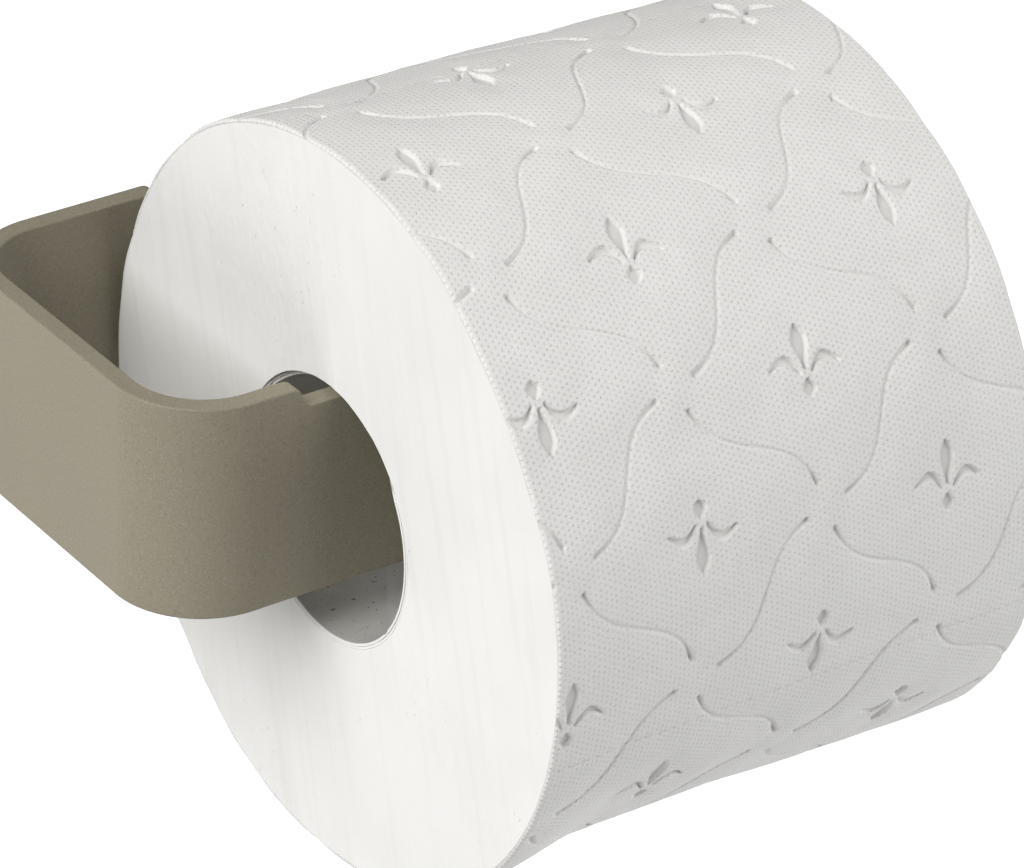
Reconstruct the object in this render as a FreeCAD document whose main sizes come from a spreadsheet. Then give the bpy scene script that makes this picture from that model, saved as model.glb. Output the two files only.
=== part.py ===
import FreeCAD, Part
import math
import os
import Sketcher
from FreeCAD import Placement, Rotation, Vector

# A toilet paper holder bent from one flat strip and screwed to a wall, with a paper roll on its arm.
# The origin is on the wall, midway between the two screws.  +Z is up, -Y points away from the wall
# and +X runs along the arm to its free end.  Lengths are in millimetres, angles in degrees.

SIZES = {
    # the bent strip
    "strip_thickness": 3.4,
    "strip_height": 37.5,
    "wall_bend_radius": 15.0,
    "front_bend_radius": 15.5,
    "side_to_screws": 78.0,
    "leg_past_screw": 14.0,
    "end_corner_radius": 4.0,
    "edge_rounding": 0.4,
    # the top edge: a saddle in the arm keeps the roll on it, and the leg steps down behind the roll
    "side_to_saddle": 22.0,
    "side_to_leg_step": 37.0,
    "step_depth": 3.5,
    "step_radius": 2.0,
    "saddle_side_play": 3.7,
    "arm_past_saddle": 6.0,
    # the wall fixings
    "screw_spacing": 50.0,
    "screw_diameter": 3.5,
    "screw_head_diameter": 7.0,
    "screw_length": 30.0,
    "screw_tip_length": 3.5,
    "screw_tip_radius": 0.3,
    "screw_hole_clearance": 0.25,
    "screw_head_recess": 0.2,
    "screw_head_gap": 0.05,
    "recess_width": 1.0,
    "recess_span": 3.9,
    "recess_depth": 1.5,
    "plug_wall": 0.73,
    "plug_length": 22.0,
    "plug_sink": 2.5,
    "plug_bore_clearance": 0.02,
    "plug_collar_length": 4.0,
    "plug_groove_width": 1.4,
    "plug_groove_depth": 0.3,
    "plug_groove_pitch": 2.6,
    "plug_slit_width": 0.8,
    # the paper roll
    "roll_width": 93.0,
    "roll_diameter": 124.6,
    "roll_to_leg": 0.5,
    "core_bore": 43.0,
    "core_rest_gap": 0.3,
    "ply_thickness": 0.45,
    "ply_glue_gap": 0.02,
    "core_to_paper": 0.3,
    "outer_turn_thickness": 0.6,
    "outer_turn_gap": 0.02,
    "rim_radius": 2.5,
    "sheet_length": 128.0,
    "perforation_gap": 0.3,
    "first_perforation_angle": 75.5,
}
PLUG_GROOVES = 7
OUTER_SHEETS = 3
SCREW_SIDES = {"left": -1, "right": 1}


class Size:
    """A number together with the sheet expression that it comes from."""

    def __init__(self, text, value):
        self.text = text
        self.value = value

    @staticmethod
    def of(other):
        """A plain number as a Size, and a Size as it is."""
        return other if isinstance(other, Size) else Size(str(other), other)

    def __add__(self, other):
        other = Size.of(other)
        return Size(f"({self.text} + {other.text})", self.value + other.value)

    def __sub__(self, other):
        other = Size.of(other)
        return Size(f"({self.text} - {other.text})", self.value - other.value)

    def __mul__(self, other):
        other = Size.of(other)
        return Size(f"({self.text} * {other.text})", self.value * other.value)

    def __truediv__(self, other):
        other = Size.of(other)
        return Size(f"({self.text} / {other.text})", self.value / other.value)

    def __neg__(self):
        return Size(f"(0 - {self.text})", -self.value)

    def root(self):
        return Size(f"sqrt({self.text})", math.sqrt(self.value))


doc = FreeCAD.newDocument("toilet_paper_holder")
sheet = doc.addObject("Spreadsheet::Sheet", "Sizes")
size = {}
for row, (alias, value) in enumerate(SIZES.items(), start=1):
    sheet.set(f"A{row}", alias)
    sheet.set(f"B{row}", str(value))
    sheet.setAlias(f"B{row}", alias)
    size[alias] = Size(f"<<Sizes>>.{alias}", value)
doc.recompute()

# Places that several pieces share.
thickness = size["strip_thickness"]
half_height = size["strip_height"] / 2
half_thickness = thickness / 2
roll_radius = size["roll_diameter"] / 2
bore_radius = size["core_bore"] / 2
depth = thickness + size["roll_to_leg"] + roll_radius + half_thickness
side_x = -size["side_to_screws"]
saddle_start = side_x + size["side_to_saddle"]
leg_end = size["screw_spacing"] / 2 + size["leg_past_screw"]
leg_step_start = side_x + size["side_to_leg_step"]
step_rise = size["step_radius"] * 2 - size["step_depth"]
step_width = (size["step_radius"] * size["step_radius"] * 4 - step_rise * step_rise).root()
saddle_length = size["roll_width"] + size["saddle_side_play"] * 2
saddle_floor = half_height - size["step_depth"]
saddle_end = saddle_start + step_width * 2 + saddle_length
arm_end = saddle_end + size["arm_past_saddle"]
roll_start = saddle_start + step_width + size["saddle_side_play"]
axis_y = half_thickness - depth
arm_chord = (bore_radius * bore_radius - half_thickness * half_thickness).root()
axis_z = saddle_floor - arm_chord + size["core_rest_gap"]

ORIGIN_POINT = (-1, 1)
SKETCH_X = -1
SKETCH_Y = -2
CENTRE = 3
ZERO = Size("0", 0.0)
INTO_WALL = Rotation(Vector(0, 0, 1), 90)


def new_body(name):
    body = doc.addObject("PartDesign::Body", name)
    body.Label = name
    return body


def new_sketch(body, plane_role, name):
    """A sketch on one of the body's own origin planes."""
    sketch = body.newObject("Sketcher::SketchObject", name)
    plane = next(f for f in body.Origin.OriginFeatures if f.Role == plane_role)
    sketch.AttachmentSupport = [(plane, "")]
    sketch.MapMode = "FlatFace"
    return sketch


def dimension(sketch, name, length, kind, *places):
    """A dimension of the sketch that follows the sheet."""
    index = sketch.addConstraint(Sketcher.Constraint(kind, *places, length.value))
    sketch.renameConstraint(index, name)
    sketch.setExpression(f"Constraints.{name}", length.text)


def fix(sketch, kind, *places):
    sketch.addConstraint(Sketcher.Constraint(kind, *places))


def from_origin(sketch, name, kind, length, place):
    """Places a point of the sketch from its origin, on whichever side the length's sign puts it."""
    if abs(length.value) < 1e-9:
        fix(sketch, "PointOnObject", *place, SKETCH_Y if kind == "DistanceX" else SKETCH_X)
    elif length.value > 0:
        dimension(sketch, name, length, kind, *ORIGIN_POINT, *place)
    else:
        dimension(sketch, name, -length, kind, *place, *ORIGIN_POINT)


def line(start, end):
    return Part.LineSegment(Vector(*[v.value for v in start], 0), Vector(*[v.value for v in end], 0))


def arc(centre, radius, first, last):
    circle = Part.Circle(Vector(*[v.value for v in centre], 0), Vector(0, 0, 1), radius.value)
    return Part.ArcOfCircle(circle, math.radians(first), math.radians(last))


def join(sketch, pieces, backwards=()):
    """Joins the pieces end to end in a loop; where an arc meets another curve they run on smoothly."""
    for index, piece in enumerate(pieces):
        following = (index + 1) % len(pieces)
        end = 1 if index in backwards else 2
        start = 2 if following in backwards else 1
        corner = isinstance(piece, Part.LineSegment) and isinstance(pieces[following], Part.LineSegment)
        fix(sketch, "Coincident" if corner else "Tangent", index, end, following, start)


def polygon(sketch, corners):
    """A closed loop of lines whose corners are each placed from the sketch's origin."""
    lines = [line(a, b) for a, b in zip(corners, corners[1:] + corners[:1])]
    first = sketch.GeometryCount
    sketch.addGeometry(lines, False)
    for index in range(len(lines)):
        following = (index + 1) % len(lines)
        fix(sketch, "Coincident", first + index, 2, first + following, 1)
    for index, (x, y) in enumerate(corners):
        corner = (first + index, 1)
        from_origin(sketch, f"corner_{index}_x", "DistanceX", x, corner)
        from_origin(sketch, f"corner_{index}_y", "DistanceY", y, corner)


def feature(body, kind, name, profile, lengths):
    """A sketched feature of the body, with the properties that follow the sheet."""
    made = body.newObject(f"PartDesign::{kind}", name)
    made.Profile = profile
    for key, length in lengths.items():
        made.setExpression(key, length.text)
    profile.Visibility = False
    doc.recompute()
    return made


def require_smaller(body, before, what):
    """Stops the build when a cut has missed its body."""
    if not body.Shape.Volume < before - 1e-6:
        raise RuntimeError(f"{what} cut nothing from {body.Label}")


def place(body, x, y, z, rotation=None):
    """Puts a body where the sheet says."""
    body.Placement = Placement(Vector(x.value, y.value, z.value), rotation or Rotation())
    for key, length in (("x", x), ("y", y), ("z", z)):
        body.setExpression(f"Placement.Base.{key}", length.text)


# The strip: seen from above, a wall leg, a side and an arm joined by two bends.
def strip_outline(sketch):
    wall_bend = size["wall_bend_radius"]
    front_bend = size["front_bend_radius"]
    wall_centre = (side_x + wall_bend, -wall_bend)
    front_centre = (side_x + front_bend, front_bend - depth)
    inner_side = side_x + thickness
    pieces = [
        line((leg_end, ZERO), (wall_centre[0], ZERO)),
        arc(wall_centre, wall_bend, 90, 180),
        line((side_x, wall_centre[1]), (side_x, front_centre[1])),
        arc(front_centre, front_bend, 180, 270),
        line((front_centre[0], -depth), (arm_end, -depth)),
        line((arm_end, -depth), (arm_end, thickness - depth)),
        line((arm_end, thickness - depth), (front_centre[0], thickness - depth)),
        arc(front_centre, front_bend - thickness, 180, 270),
        line((inner_side, front_centre[1]), (inner_side, wall_centre[1])),
        arc(wall_centre, wall_bend - thickness, 90, 180),
        line((wall_centre[0], -thickness), (leg_end, -thickness)),
        line((leg_end, -thickness), (leg_end, ZERO)),
    ]
    sketch.addGeometry(pieces, False)
    join(sketch, pieces, backwards=(7, 9))
    for level in (0, 4, 6, 10):
        fix(sketch, "Horizontal", level)
    for upright in (2, 5, 8, 11):
        fix(sketch, "Vertical", upright)
    fix(sketch, "PointOnObject", 0, 1, SKETCH_X)
    dimension(sketch, "leg_end", leg_end, "DistanceX", *ORIGIN_POINT, 0, 1)
    dimension(sketch, "side", size["side_to_screws"], "DistanceX", 2, 1, *ORIGIN_POINT)
    dimension(sketch, "depth", depth, "DistanceY", 4, 1, *ORIGIN_POINT)
    dimension(sketch, "arm_end", arm_end, "DistanceX", *ORIGIN_POINT, 5, 1)
    dimension(sketch, "wall_bend", wall_bend, "Radius", 1)
    dimension(sketch, "front_bend", front_bend, "Radius", 3)
    dimension(sketch, "wall_bend_inside", wall_bend - thickness, "Radius", 9)
    dimension(sketch, "front_bend_inside", front_bend - thickness, "Radius", 7)
    dimension(sketch, "arm_thickness", thickness, "DistanceY", 5, 1, 5, 2)
    dimension(sketch, "leg_thickness", thickness, "DistanceY", 11, 1, 11, 2)
    dimension(sketch, "side_thickness", thickness, "DistanceX", 2, 2, 8, 1)


# What is cut from a top edge, seen from the front: down to a level floor by a smooth S-shaped step,
# and up again by another.
def lowered_edge_outline(sketch, start, floor_length):
    radius = size["step_radius"]
    above = half_height + 1
    turn = math.degrees(math.asin(step_width.value / 2 / radius.value))
    floor_start = start + step_width
    floor_end = floor_start + floor_length
    end = floor_end + step_width
    pieces = [
        arc((start, half_height - radius), radius, 90 - turn, 90),
        arc((floor_start, saddle_floor + radius), radius, 270 - turn, 270),
        line((floor_start, saddle_floor), (floor_end, saddle_floor)),
        arc((floor_end, saddle_floor + radius), radius, 270, 270 + turn),
        arc((end, half_height - radius), radius, 90, 90 + turn),
        line((end, half_height), (end, above)),
        line((end, above), (start, above)),
        line((start, above), (start, half_height)),
    ]
    sketch.addGeometry(pieces, False)
    for first, second in (((0, 1), (1, 1)), ((1, 2), (2, 1)), ((2, 2), (3, 1)), ((3, 2), (4, 2))):
        fix(sketch, "Tangent", *first, *second)
    for first, second in (((4, 1), (5, 1)), ((5, 2), (6, 1)), ((6, 2), (7, 1)), ((7, 2), (0, 2))):
        fix(sketch, "Coincident", *first, *second)
    for level in (2, 6):
        fix(sketch, "Horizontal", level)
    for upright in (5, 7):
        fix(sketch, "Vertical", upright)
    fix(sketch, "Vertical", 0, CENTRE, 0, 2)
    fix(sketch, "Vertical", 4, CENTRE, 4, 1)
    fix(sketch, "Horizontal", 0, 2, 4, 1)
    for other in (1, 3, 4):
        fix(sketch, "Equal", 0, other)
    dimension(sketch, "step_radius", radius, "Radius", 0)
    dimension(sketch, "step_depth", size["step_depth"], "DistanceY", 2, 1, 0, 2)
    dimension(sketch, "floor_length", floor_length, "DistanceX", 2, 1, 2, 2)
    from_origin(sketch, "top", "DistanceY", half_height, (0, 2))
    from_origin(sketch, "start", "DistanceX", start, (0, 2))
    from_origin(sketch, "above", "DistanceY", above, (6, 1))


# Half the section of a screw hole, seen from above: a round hole that opens into a cone for the head.
def screw_hole_outline(sketch):
    hole_radius = size["screw_diameter"] / 2 + size["screw_hole_clearance"]
    mouth_radius = size["screw_head_diameter"] / 2 + size["screw_head_gap"] + size["screw_head_recess"] * 2
    hole_x = size["screw_spacing"] / 2
    cone_end = mouth_radius - hole_radius - thickness
    sketch.addGeometry(line((hole_x, -thickness), (hole_x, ZERO)), True)
    fix(sketch, "Vertical", 0)
    from_origin(sketch, "axis_x", "DistanceX", hole_x, (0, 1))
    from_origin(sketch, "axis_start", "DistanceY", -thickness, (0, 1))
    dimension(sketch, "axis_length", thickness, "DistanceY", 0, 1, 0, 2)
    polygon(sketch, [
        (hole_x, -thickness),
        (hole_x + mouth_radius, -thickness),
        (hole_x + hole_radius, cone_end),
        (hole_x + hole_radius, ZERO),
        (hole_x, ZERO),
    ])


def end_corner_edges(shape):
    """The four short edges across the thickness at the two ends of the strip."""
    ends = (leg_end.value, arm_end.value)
    names = []
    for number, edge in enumerate(shape.Edges, start=1):
        box = edge.BoundBox
        across = box.YLength > thickness.value * 0.9 and max(box.XLength, box.ZLength) < 1e-3
        if across and min(abs(box.XMin - end) for end in ends) < 1e-3:
            names.append(f"Edge{number}")
    return names


def is_rim(face):
    """Whether a face is part of the strip's narrow rim, which runs straight across the thickness."""
    u_low, u_high, v_low, v_high = face.ParameterRange
    normal = face.normalAt((u_low + u_high) / 2, (v_low + v_high) / 2)
    level = abs(normal.z) > 1e-3
    at_arm_end = abs(face.CenterOfMass.x - arm_end.value) < 1e-3
    at_leg_end = abs(face.CenterOfMass.x - leg_end.value) < 1e-3
    return level or at_arm_end or at_leg_end


def long_edges(shape):
    """The edges where the rim meets the strip's two broad sides."""
    names = []
    for number, edge in enumerate(shape.Edges, start=1):
        faces = shape.ancestorsOfType(edge, Part.Face)
        if len(faces) == 2 and is_rim(faces[0]) != is_rim(faces[1]):
            names.append(f"Edge{number}")
    return names


def round_edges(body, name, base, edges, radius):
    """Rounds the named edges of a feature."""
    if not edges:
        raise RuntimeError(f"{name} found no edge to round on {body.Label}")
    rounding = body.newObject("PartDesign::Fillet", name)
    rounding.Base = (base, edges)
    rounding.setExpression("Radius", radius.text)
    doc.recompute()
    return rounding


def lower_edge(body, name, face_depth, start, floor_length):
    """Cuts a lowered stretch in the top edge of the leg or the arm, whose outer face is at the depth."""
    before = body.Shape.Volume
    front = new_sketch(body, "XZ_Plane", f"{name}_front")
    front.setExpression("AttachmentOffset.Base.z", face_depth.text)
    lowered_edge_outline(front, start, floor_length)
    cut = feature(body, "Pocket", name, front, {"Length": thickness})
    require_smaller(body, before, f"the {name}")
    return cut


def make_strip():
    body = new_body("holder_strip")
    plan = new_sketch(body, "XY_Plane", "strip_plan")
    plan.setExpression("AttachmentOffset.Base.z", (-half_height).text)
    strip_outline(plan)
    feature(body, "Pad", "bent_band", plan, {"Length": size["strip_height"]})
    lower_edge(body, "saddle", depth, saddle_start, saddle_length)
    past_leg = leg_end - leg_step_start
    stepped = lower_edge(body, "leg_step", thickness, leg_step_start, past_leg)
    corners = round_edges(
        body, "end_corners", stepped, end_corner_edges(stepped.Shape), size["end_corner_radius"]
    )
    round_edges(body, "soft_edges", corners, long_edges(corners.Shape), size["edge_rounding"])
    before = body.Shape.Volume
    section = new_sketch(body, "XY_Plane", "screw_hole_section")
    screw_hole_outline(section)
    hole = feature(body, "Groove", "right_screw_hole", section, {})
    hole.ReferenceAxis = (section, ["Axis0"])
    hole.Angle = 360
    doc.recompute()
    require_smaller(body, before, "the screw hole")
    before = body.Shape.Volume
    middle = next(f for f in body.Origin.OriginFeatures if f.Role == "YZ_Plane")
    both = body.newObject("PartDesign::Mirrored", "left_screw_hole")
    both.Originals = [hole]
    both.MirrorPlane = (middle, [""])
    body.Tip = both
    doc.recompute()
    require_smaller(body, before, "the left screw hole")


# A countersunk wood screw, drawn along +X from the top of its head.
def make_screw(label, side):
    body = new_body(f"wall_screw_{label}")
    shank_radius = size["screw_diameter"] / 2
    head_radius = size["screw_head_diameter"] / 2
    tip_start = size["screw_length"] - size["screw_tip_length"]
    profile = new_sketch(body, "XY_Plane", f"screw_profile_{label}")
    polygon(profile, [
        (ZERO, ZERO),
        (ZERO, head_radius),
        (size["screw_head_recess"], head_radius),
        (size["screw_head_recess"] + head_radius - shank_radius, shank_radius),
        (tip_start, shank_radius),
        (size["screw_length"], size["screw_tip_radius"]),
        (size["screw_length"], ZERO),
    ])
    turned = feature(body, "Revolution", f"screw_turned_{label}", profile, {})
    turned.ReferenceAxis = (profile, ["H_Axis"])
    turned.Angle = 360
    doc.recompute()
    before = body.Shape.Volume
    cross = new_sketch(body, "YZ_Plane", f"screw_cross_{label}")
    half_width = size["recess_width"] / 2
    half_span = size["recess_span"] / 2
    polygon(cross, [
        (-half_span, -half_width),
        (-half_width, -half_width),
        (-half_width, -half_span),
        (half_width, -half_span),
        (half_width, -half_width),
        (half_span, -half_width),
        (half_span, half_width),
        (half_width, half_width),
        (half_width, half_span),
        (-half_width, half_span),
        (-half_width, half_width),
        (-half_span, half_width),
    ])
    recess = feature(body, "Pocket", f"screw_recess_{label}", cross, {"Length": size["recess_depth"]})
    recess.Reversed = True
    doc.recompute()
    require_smaller(body, before, "the screw's recess")
    head_y = size["screw_head_recess"] - thickness
    place(body, size["screw_spacing"] / 2 * side, head_y, ZERO, INTO_WALL)


# A nylon wall plug, drawn along +X from its mouth: a plain collar, then grip grooves and a slit.
def make_plug(label, side):
    body = new_body(f"wall_plug_{label}")
    bore = size["screw_diameter"] / 2 + size["plug_bore_clearance"]
    outer = bore + size["plug_wall"]
    length = size["plug_length"]
    profile = new_sketch(body, "XY_Plane", f"plug_profile_{label}")
    polygon(profile, [(ZERO, bore), (ZERO, outer), (length, outer), (length, bore)])
    tube = feature(body, "Revolution", f"plug_tube_{label}", profile, {})
    tube.ReferenceAxis = (profile, ["H_Axis"])
    tube.Angle = 360
    doc.recompute()
    before = body.Shape.Volume
    ring = new_sketch(body, "XY_Plane", f"plug_groove_section_{label}")
    start = size["plug_collar_length"]
    end = start + size["plug_groove_width"]
    floor = outer - size["plug_groove_depth"]
    polygon(ring, [(start, floor), (start, outer + 1), (end, outer + 1), (end, floor)])
    groove = feature(body, "Groove", f"plug_groove_{label}", ring, {})
    groove.ReferenceAxis = (ring, ["H_Axis"])
    groove.Angle = 360
    doc.recompute()
    require_smaller(body, before, "the plug's groove")
    before = body.Shape.Volume
    grooves = body.newObject("PartDesign::LinearPattern", f"plug_grooves_{label}")
    grooves.Originals = [groove]
    grooves.Direction = (ring, ["H_Axis"])
    grooves.Occurrences = PLUG_GROOVES
    grooves.setExpression("Length", (size["plug_groove_pitch"] * (PLUG_GROOVES - 1)).text)
    body.Tip = grooves
    doc.recompute()
    require_smaller(body, before, "the plug's groove pattern")
    before = body.Shape.Volume
    slit = new_sketch(body, "XY_Plane", f"plug_slit_outline_{label}")
    half_slit = size["plug_slit_width"] / 2
    past_end = length + 1
    polygon(slit, [(start, -half_slit), (past_end, -half_slit), (past_end, half_slit), (start, half_slit)])
    cut = feature(body, "Pocket", f"plug_slit_{label}", slit, {"Length": outer * 4})
    cut.Midplane = True
    doc.recompute()
    require_smaller(body, before, "the plug's slit")
    place(body, size["screw_spacing"] / 2 * side, size["plug_sink"], ZERO, INTO_WALL)


def make_ring(name, inner, outer, length):
    """A plain tube along +X, on the roll's axis."""
    body = new_body(name)
    rings = new_sketch(body, "YZ_Plane", f"{name}_rings")
    for index, (label, radius) in enumerate((("outer", outer), ("inner", inner))):
        rings.addGeometry(Part.Circle(Vector(0, 0, 0), Vector(0, 0, 1), radius.value), False)
        fix(rings, "Coincident", index, CENTRE, *ORIGIN_POINT)
        dimension(rings, label, radius, "Radius", index)
    feature(body, "Pad", f"{name}_tube", rings, {"Length": length})
    return body


def make_core():
    ply = size["ply_thickness"]
    inner_ply_outside = bore_radius + ply
    outer_ply_inside = inner_ply_outside + size["ply_glue_gap"]
    plies = {
        "core_inner_ply": (bore_radius, inner_ply_outside),
        "core_outer_ply": (outer_ply_inside, outer_ply_inside + ply),
    }
    for name, (inner, outer) in plies.items():
        body = make_ring(name, inner, outer, size["roll_width"])
        place(body, roll_start, axis_y, axis_z)
    return outer_ply_inside + ply


def make_winding(core_outside):
    inner = core_outside + size["core_to_paper"]
    outer = roll_radius - size["outer_turn_thickness"] - size["outer_turn_gap"]
    body = make_ring("paper_winding", inner, outer, size["roll_width"])
    tube = body.Tip
    rims = [
        f"Edge{number}"
        for number, edge in enumerate(tube.Shape.Edges, start=1)
        if isinstance(edge.Curve, Part.Circle) and abs(edge.Curve.Radius - outer.value) < 1e-3
    ]
    round_edges(body, "soft_rims", tube, rims, size["rim_radius"])
    place(body, roll_start, axis_y, axis_z)


# The last turn of paper: perforated sheets that follow each other round the roll.
def make_outer_sheets():
    outer = roll_radius
    inner = roll_radius - size["outer_turn_thickness"]
    start = size["rim_radius"]
    end = size["roll_width"] - size["rim_radius"]
    per_degree = roll_radius * (math.pi / 180)
    pitch_angle = size["sheet_length"] / per_degree
    gap_angle = size["perforation_gap"] / per_degree
    whole_turn = Size("360", 360.0)
    for number in range(OUTER_SHEETS):
        body = new_body(f"outer_sheet_{number + 1}")
        band = new_sketch(body, "XY_Plane", f"sheet_section_{number + 1}")
        polygon(band, [(start, inner), (start, outer), (end, outer), (end, inner)])
        last = number == OUTER_SHEETS - 1
        length = whole_turn - pitch_angle * number if last else pitch_angle
        angle = length - gap_angle
        rolled = feature(body, "Revolution", f"sheet_rolled_{number + 1}", band, {})
        rolled.ReferenceAxis = (band, ["H_Axis"])
        rolled.setExpression("Angle", angle.text)
        doc.recompute()
        first_angle = size["first_perforation_angle"] + pitch_angle * number
        place(body, roll_start, axis_y, axis_z, Rotation(Vector(1, 0, 0), first_angle.value))
        body.setExpression("Placement.Rotation.Angle", first_angle.text)


def check_document():
    """Every object is sound and every body is one valid solid."""
    for item in doc.Objects:
        if "Invalid" in item.State or "Error" in item.State:
            raise RuntimeError(f"{item.Name} failed: {item.State}")
    for body in bodies():
        shape = body.Shape
        if shape.isNull() or not shape.isValid() or not shape.Solids:
            raise RuntimeError(f"{body.Label} is not a valid solid")


def bodies():
    return [item for item in doc.Objects if item.TypeId == "PartDesign::Body"]


make_strip()
for label, side in SCREW_SIDES.items():
    make_screw(label, side)
    make_plug(label, side)
make_winding(make_core())
make_outer_sheets()
doc.recompute()
check_document()

os.makedirs("parts", exist_ok=True)
for body in bodies():
    body.Shape.exportStep(f"parts/{body.Label}.step")
    box = body.Shape.BoundBox
    print(
        f"{body.Label}: {body.Shape.Volume:.1f} mm3, solids {len(body.Shape.Solids)},"
        f" x {box.XMin:.2f} {box.XMax:.2f}, y {box.YMin:.2f} {box.YMax:.2f}, z {box.ZMin:.2f} {box.ZMax:.2f}"
    )
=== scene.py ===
"""Toilet paper holder: a coated strip bent into a C, screwed to a wall, with a paper roll on its arm.

Every length is in metres.  +Y runs into the wall, +Z up and +X along the arm to its free end.
"""

import logging
import math
from dataclasses import dataclass, field
from enum import Enum
from typing import Callable, Iterable, Sequence

import bmesh
import bpy
import numpy as np
from mathutils import Matrix, Vector
from mathutils.kdtree import KDTree


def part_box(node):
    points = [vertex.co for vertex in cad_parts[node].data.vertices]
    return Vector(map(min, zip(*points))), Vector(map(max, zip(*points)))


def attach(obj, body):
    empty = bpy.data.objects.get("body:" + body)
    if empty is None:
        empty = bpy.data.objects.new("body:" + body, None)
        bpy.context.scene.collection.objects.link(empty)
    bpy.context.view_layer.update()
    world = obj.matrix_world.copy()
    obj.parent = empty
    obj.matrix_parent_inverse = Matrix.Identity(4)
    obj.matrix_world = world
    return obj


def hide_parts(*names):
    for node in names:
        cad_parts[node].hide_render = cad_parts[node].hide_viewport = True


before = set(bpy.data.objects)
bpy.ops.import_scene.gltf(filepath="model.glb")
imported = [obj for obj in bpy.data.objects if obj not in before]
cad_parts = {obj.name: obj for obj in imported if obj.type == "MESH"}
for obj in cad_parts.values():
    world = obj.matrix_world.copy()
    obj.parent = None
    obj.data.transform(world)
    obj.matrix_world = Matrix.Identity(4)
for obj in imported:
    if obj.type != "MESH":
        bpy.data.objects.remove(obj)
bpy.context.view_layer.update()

LOG = logging.getLogger("holder")

Number = "float | Term"
Loop = list[tuple[float, float]]


# --------------------------------------------------------------------------- node trees


def operation(name: str, swapped: bool = False) -> Callable[..., "Term"]:
    """A method of Term that adds one Math node.

    Args:
        name: The node's operation.
        swapped: Whether the term is the second value, as in the reflected operators.

    Returns:
        The method.
    """

    def method(self: "Term", *others: Number) -> "Term":
        """Adds the node and gives its result."""
        values = (*others, self) if swapped else (self, *others)
        return self.graph.math(name, *values)

    return method


class Term:
    """A number that flows through a node tree; Python's operators on it add Math nodes."""

    __add__, __radd__ = operation("ADD"), operation("ADD", swapped=True)
    __sub__, __rsub__ = operation("SUBTRACT"), operation("SUBTRACT", swapped=True)
    __mul__, __rmul__ = operation("MULTIPLY"), operation("MULTIPLY", swapped=True)
    __truediv__ = operation("DIVIDE")
    sine, cosine = operation("SINE"), operation("COSINE")
    root, absolute = operation("SQRT"), operation("ABSOLUTE")
    smallest, largest = operation("MINIMUM"), operation("MAXIMUM")
    above = operation("GREATER_THAN")

    def __init__(self, graph: "Graph", socket: bpy.types.NodeSocket) -> None:
        """Wraps an output socket of the graph."""
        self.graph = graph
        self.socket = socket

    def rising(self, low: Number, high: Number) -> "Term":
        """0 below low, 1 above high, with a smooth rise between."""
        feeds = {0: self, 1: low, 2: high, 3: 0.0, 4: 1.0}
        node = self.graph.node("ShaderNodeMapRange", {"interpolation_type": "SMOOTHSTEP"}, feeds)
        return Term(self.graph, node.outputs[0])


class Graph:
    """A node tree and the calls that add nodes to it."""

    def __init__(self, tree: bpy.types.NodeTree) -> None:
        """Wraps the tree."""
        self.tree = tree

    def node(self, kind: str, settings: dict | None = None, feeds: dict | None = None) -> bpy.types.Node:
        """Adds one node.

        Args:
            kind: The node's type.
            settings: Properties to set first.
            feeds: Values or links of its inputs, by name or index.

        Returns:
            The new node.
        """
        made = self.tree.nodes.new(kind)
        for key, value in (settings or {}).items():
            setattr(made, key, value)
        for key, value in (feeds or {}).items():
            self.feed(made.inputs[key], value)
        return made

    def feed(self, socket: bpy.types.NodeSocket, value: object) -> None:
        """Links a term or a socket to an input, or sets the input's own value.

        Args:
            socket: The input.
            value: A Term, an output socket or a plain value.
        """
        if isinstance(value, Term):
            self.tree.links.new(value.socket, socket)
        elif isinstance(value, bpy.types.NodeSocket):
            self.tree.links.new(value, socket)
        else:
            socket.default_value = value

    def math(self, operation: str, *values: Number) -> Term:
        """Adds a Math node on the values and gives its result."""
        node = self.node("ShaderNodeMath", {"operation": operation}, dict(enumerate(values)))
        return Term(self, node.outputs[0])

    def split(self, vector: bpy.types.NodeSocket) -> tuple[Term, Term, Term]:
        """The three numbers of a vector."""
        node = self.node("ShaderNodeSeparateXYZ", None, {0: vector})
        return tuple(Term(self, socket) for socket in node.outputs)

    def join(self, x: Number, y: Number, z: Number) -> bpy.types.NodeSocket:
        """A vector of three numbers."""
        return self.node("ShaderNodeCombineXYZ", None, {0: x, 1: y, 2: z}).outputs[0]

    def noise(self, vector: bpy.types.NodeSocket, scale: float, detail: float = 2.0) -> Term:
        """Soft noise from 0 to 1.

        Args:
            vector: Where it is read.
            scale: Lumps to a metre.
            detail: Finer octaves on top.

        Returns:
            The noise's value.
        """
        feeds = {"Vector": vector, "Scale": scale, "Detail": detail}
        return Term(self, self.node("ShaderNodeTexNoise", None, feeds).outputs[0])

    def stretched(self, vector: bpy.types.NodeSocket, scales: Sequence[float]) -> bpy.types.NodeSocket:
        """A vector with each of its directions scaled."""
        node = self.node("ShaderNodeVectorMath", {"operation": "MULTIPLY"}, {0: vector, 1: tuple(scales)})
        return node.outputs[0]


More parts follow.
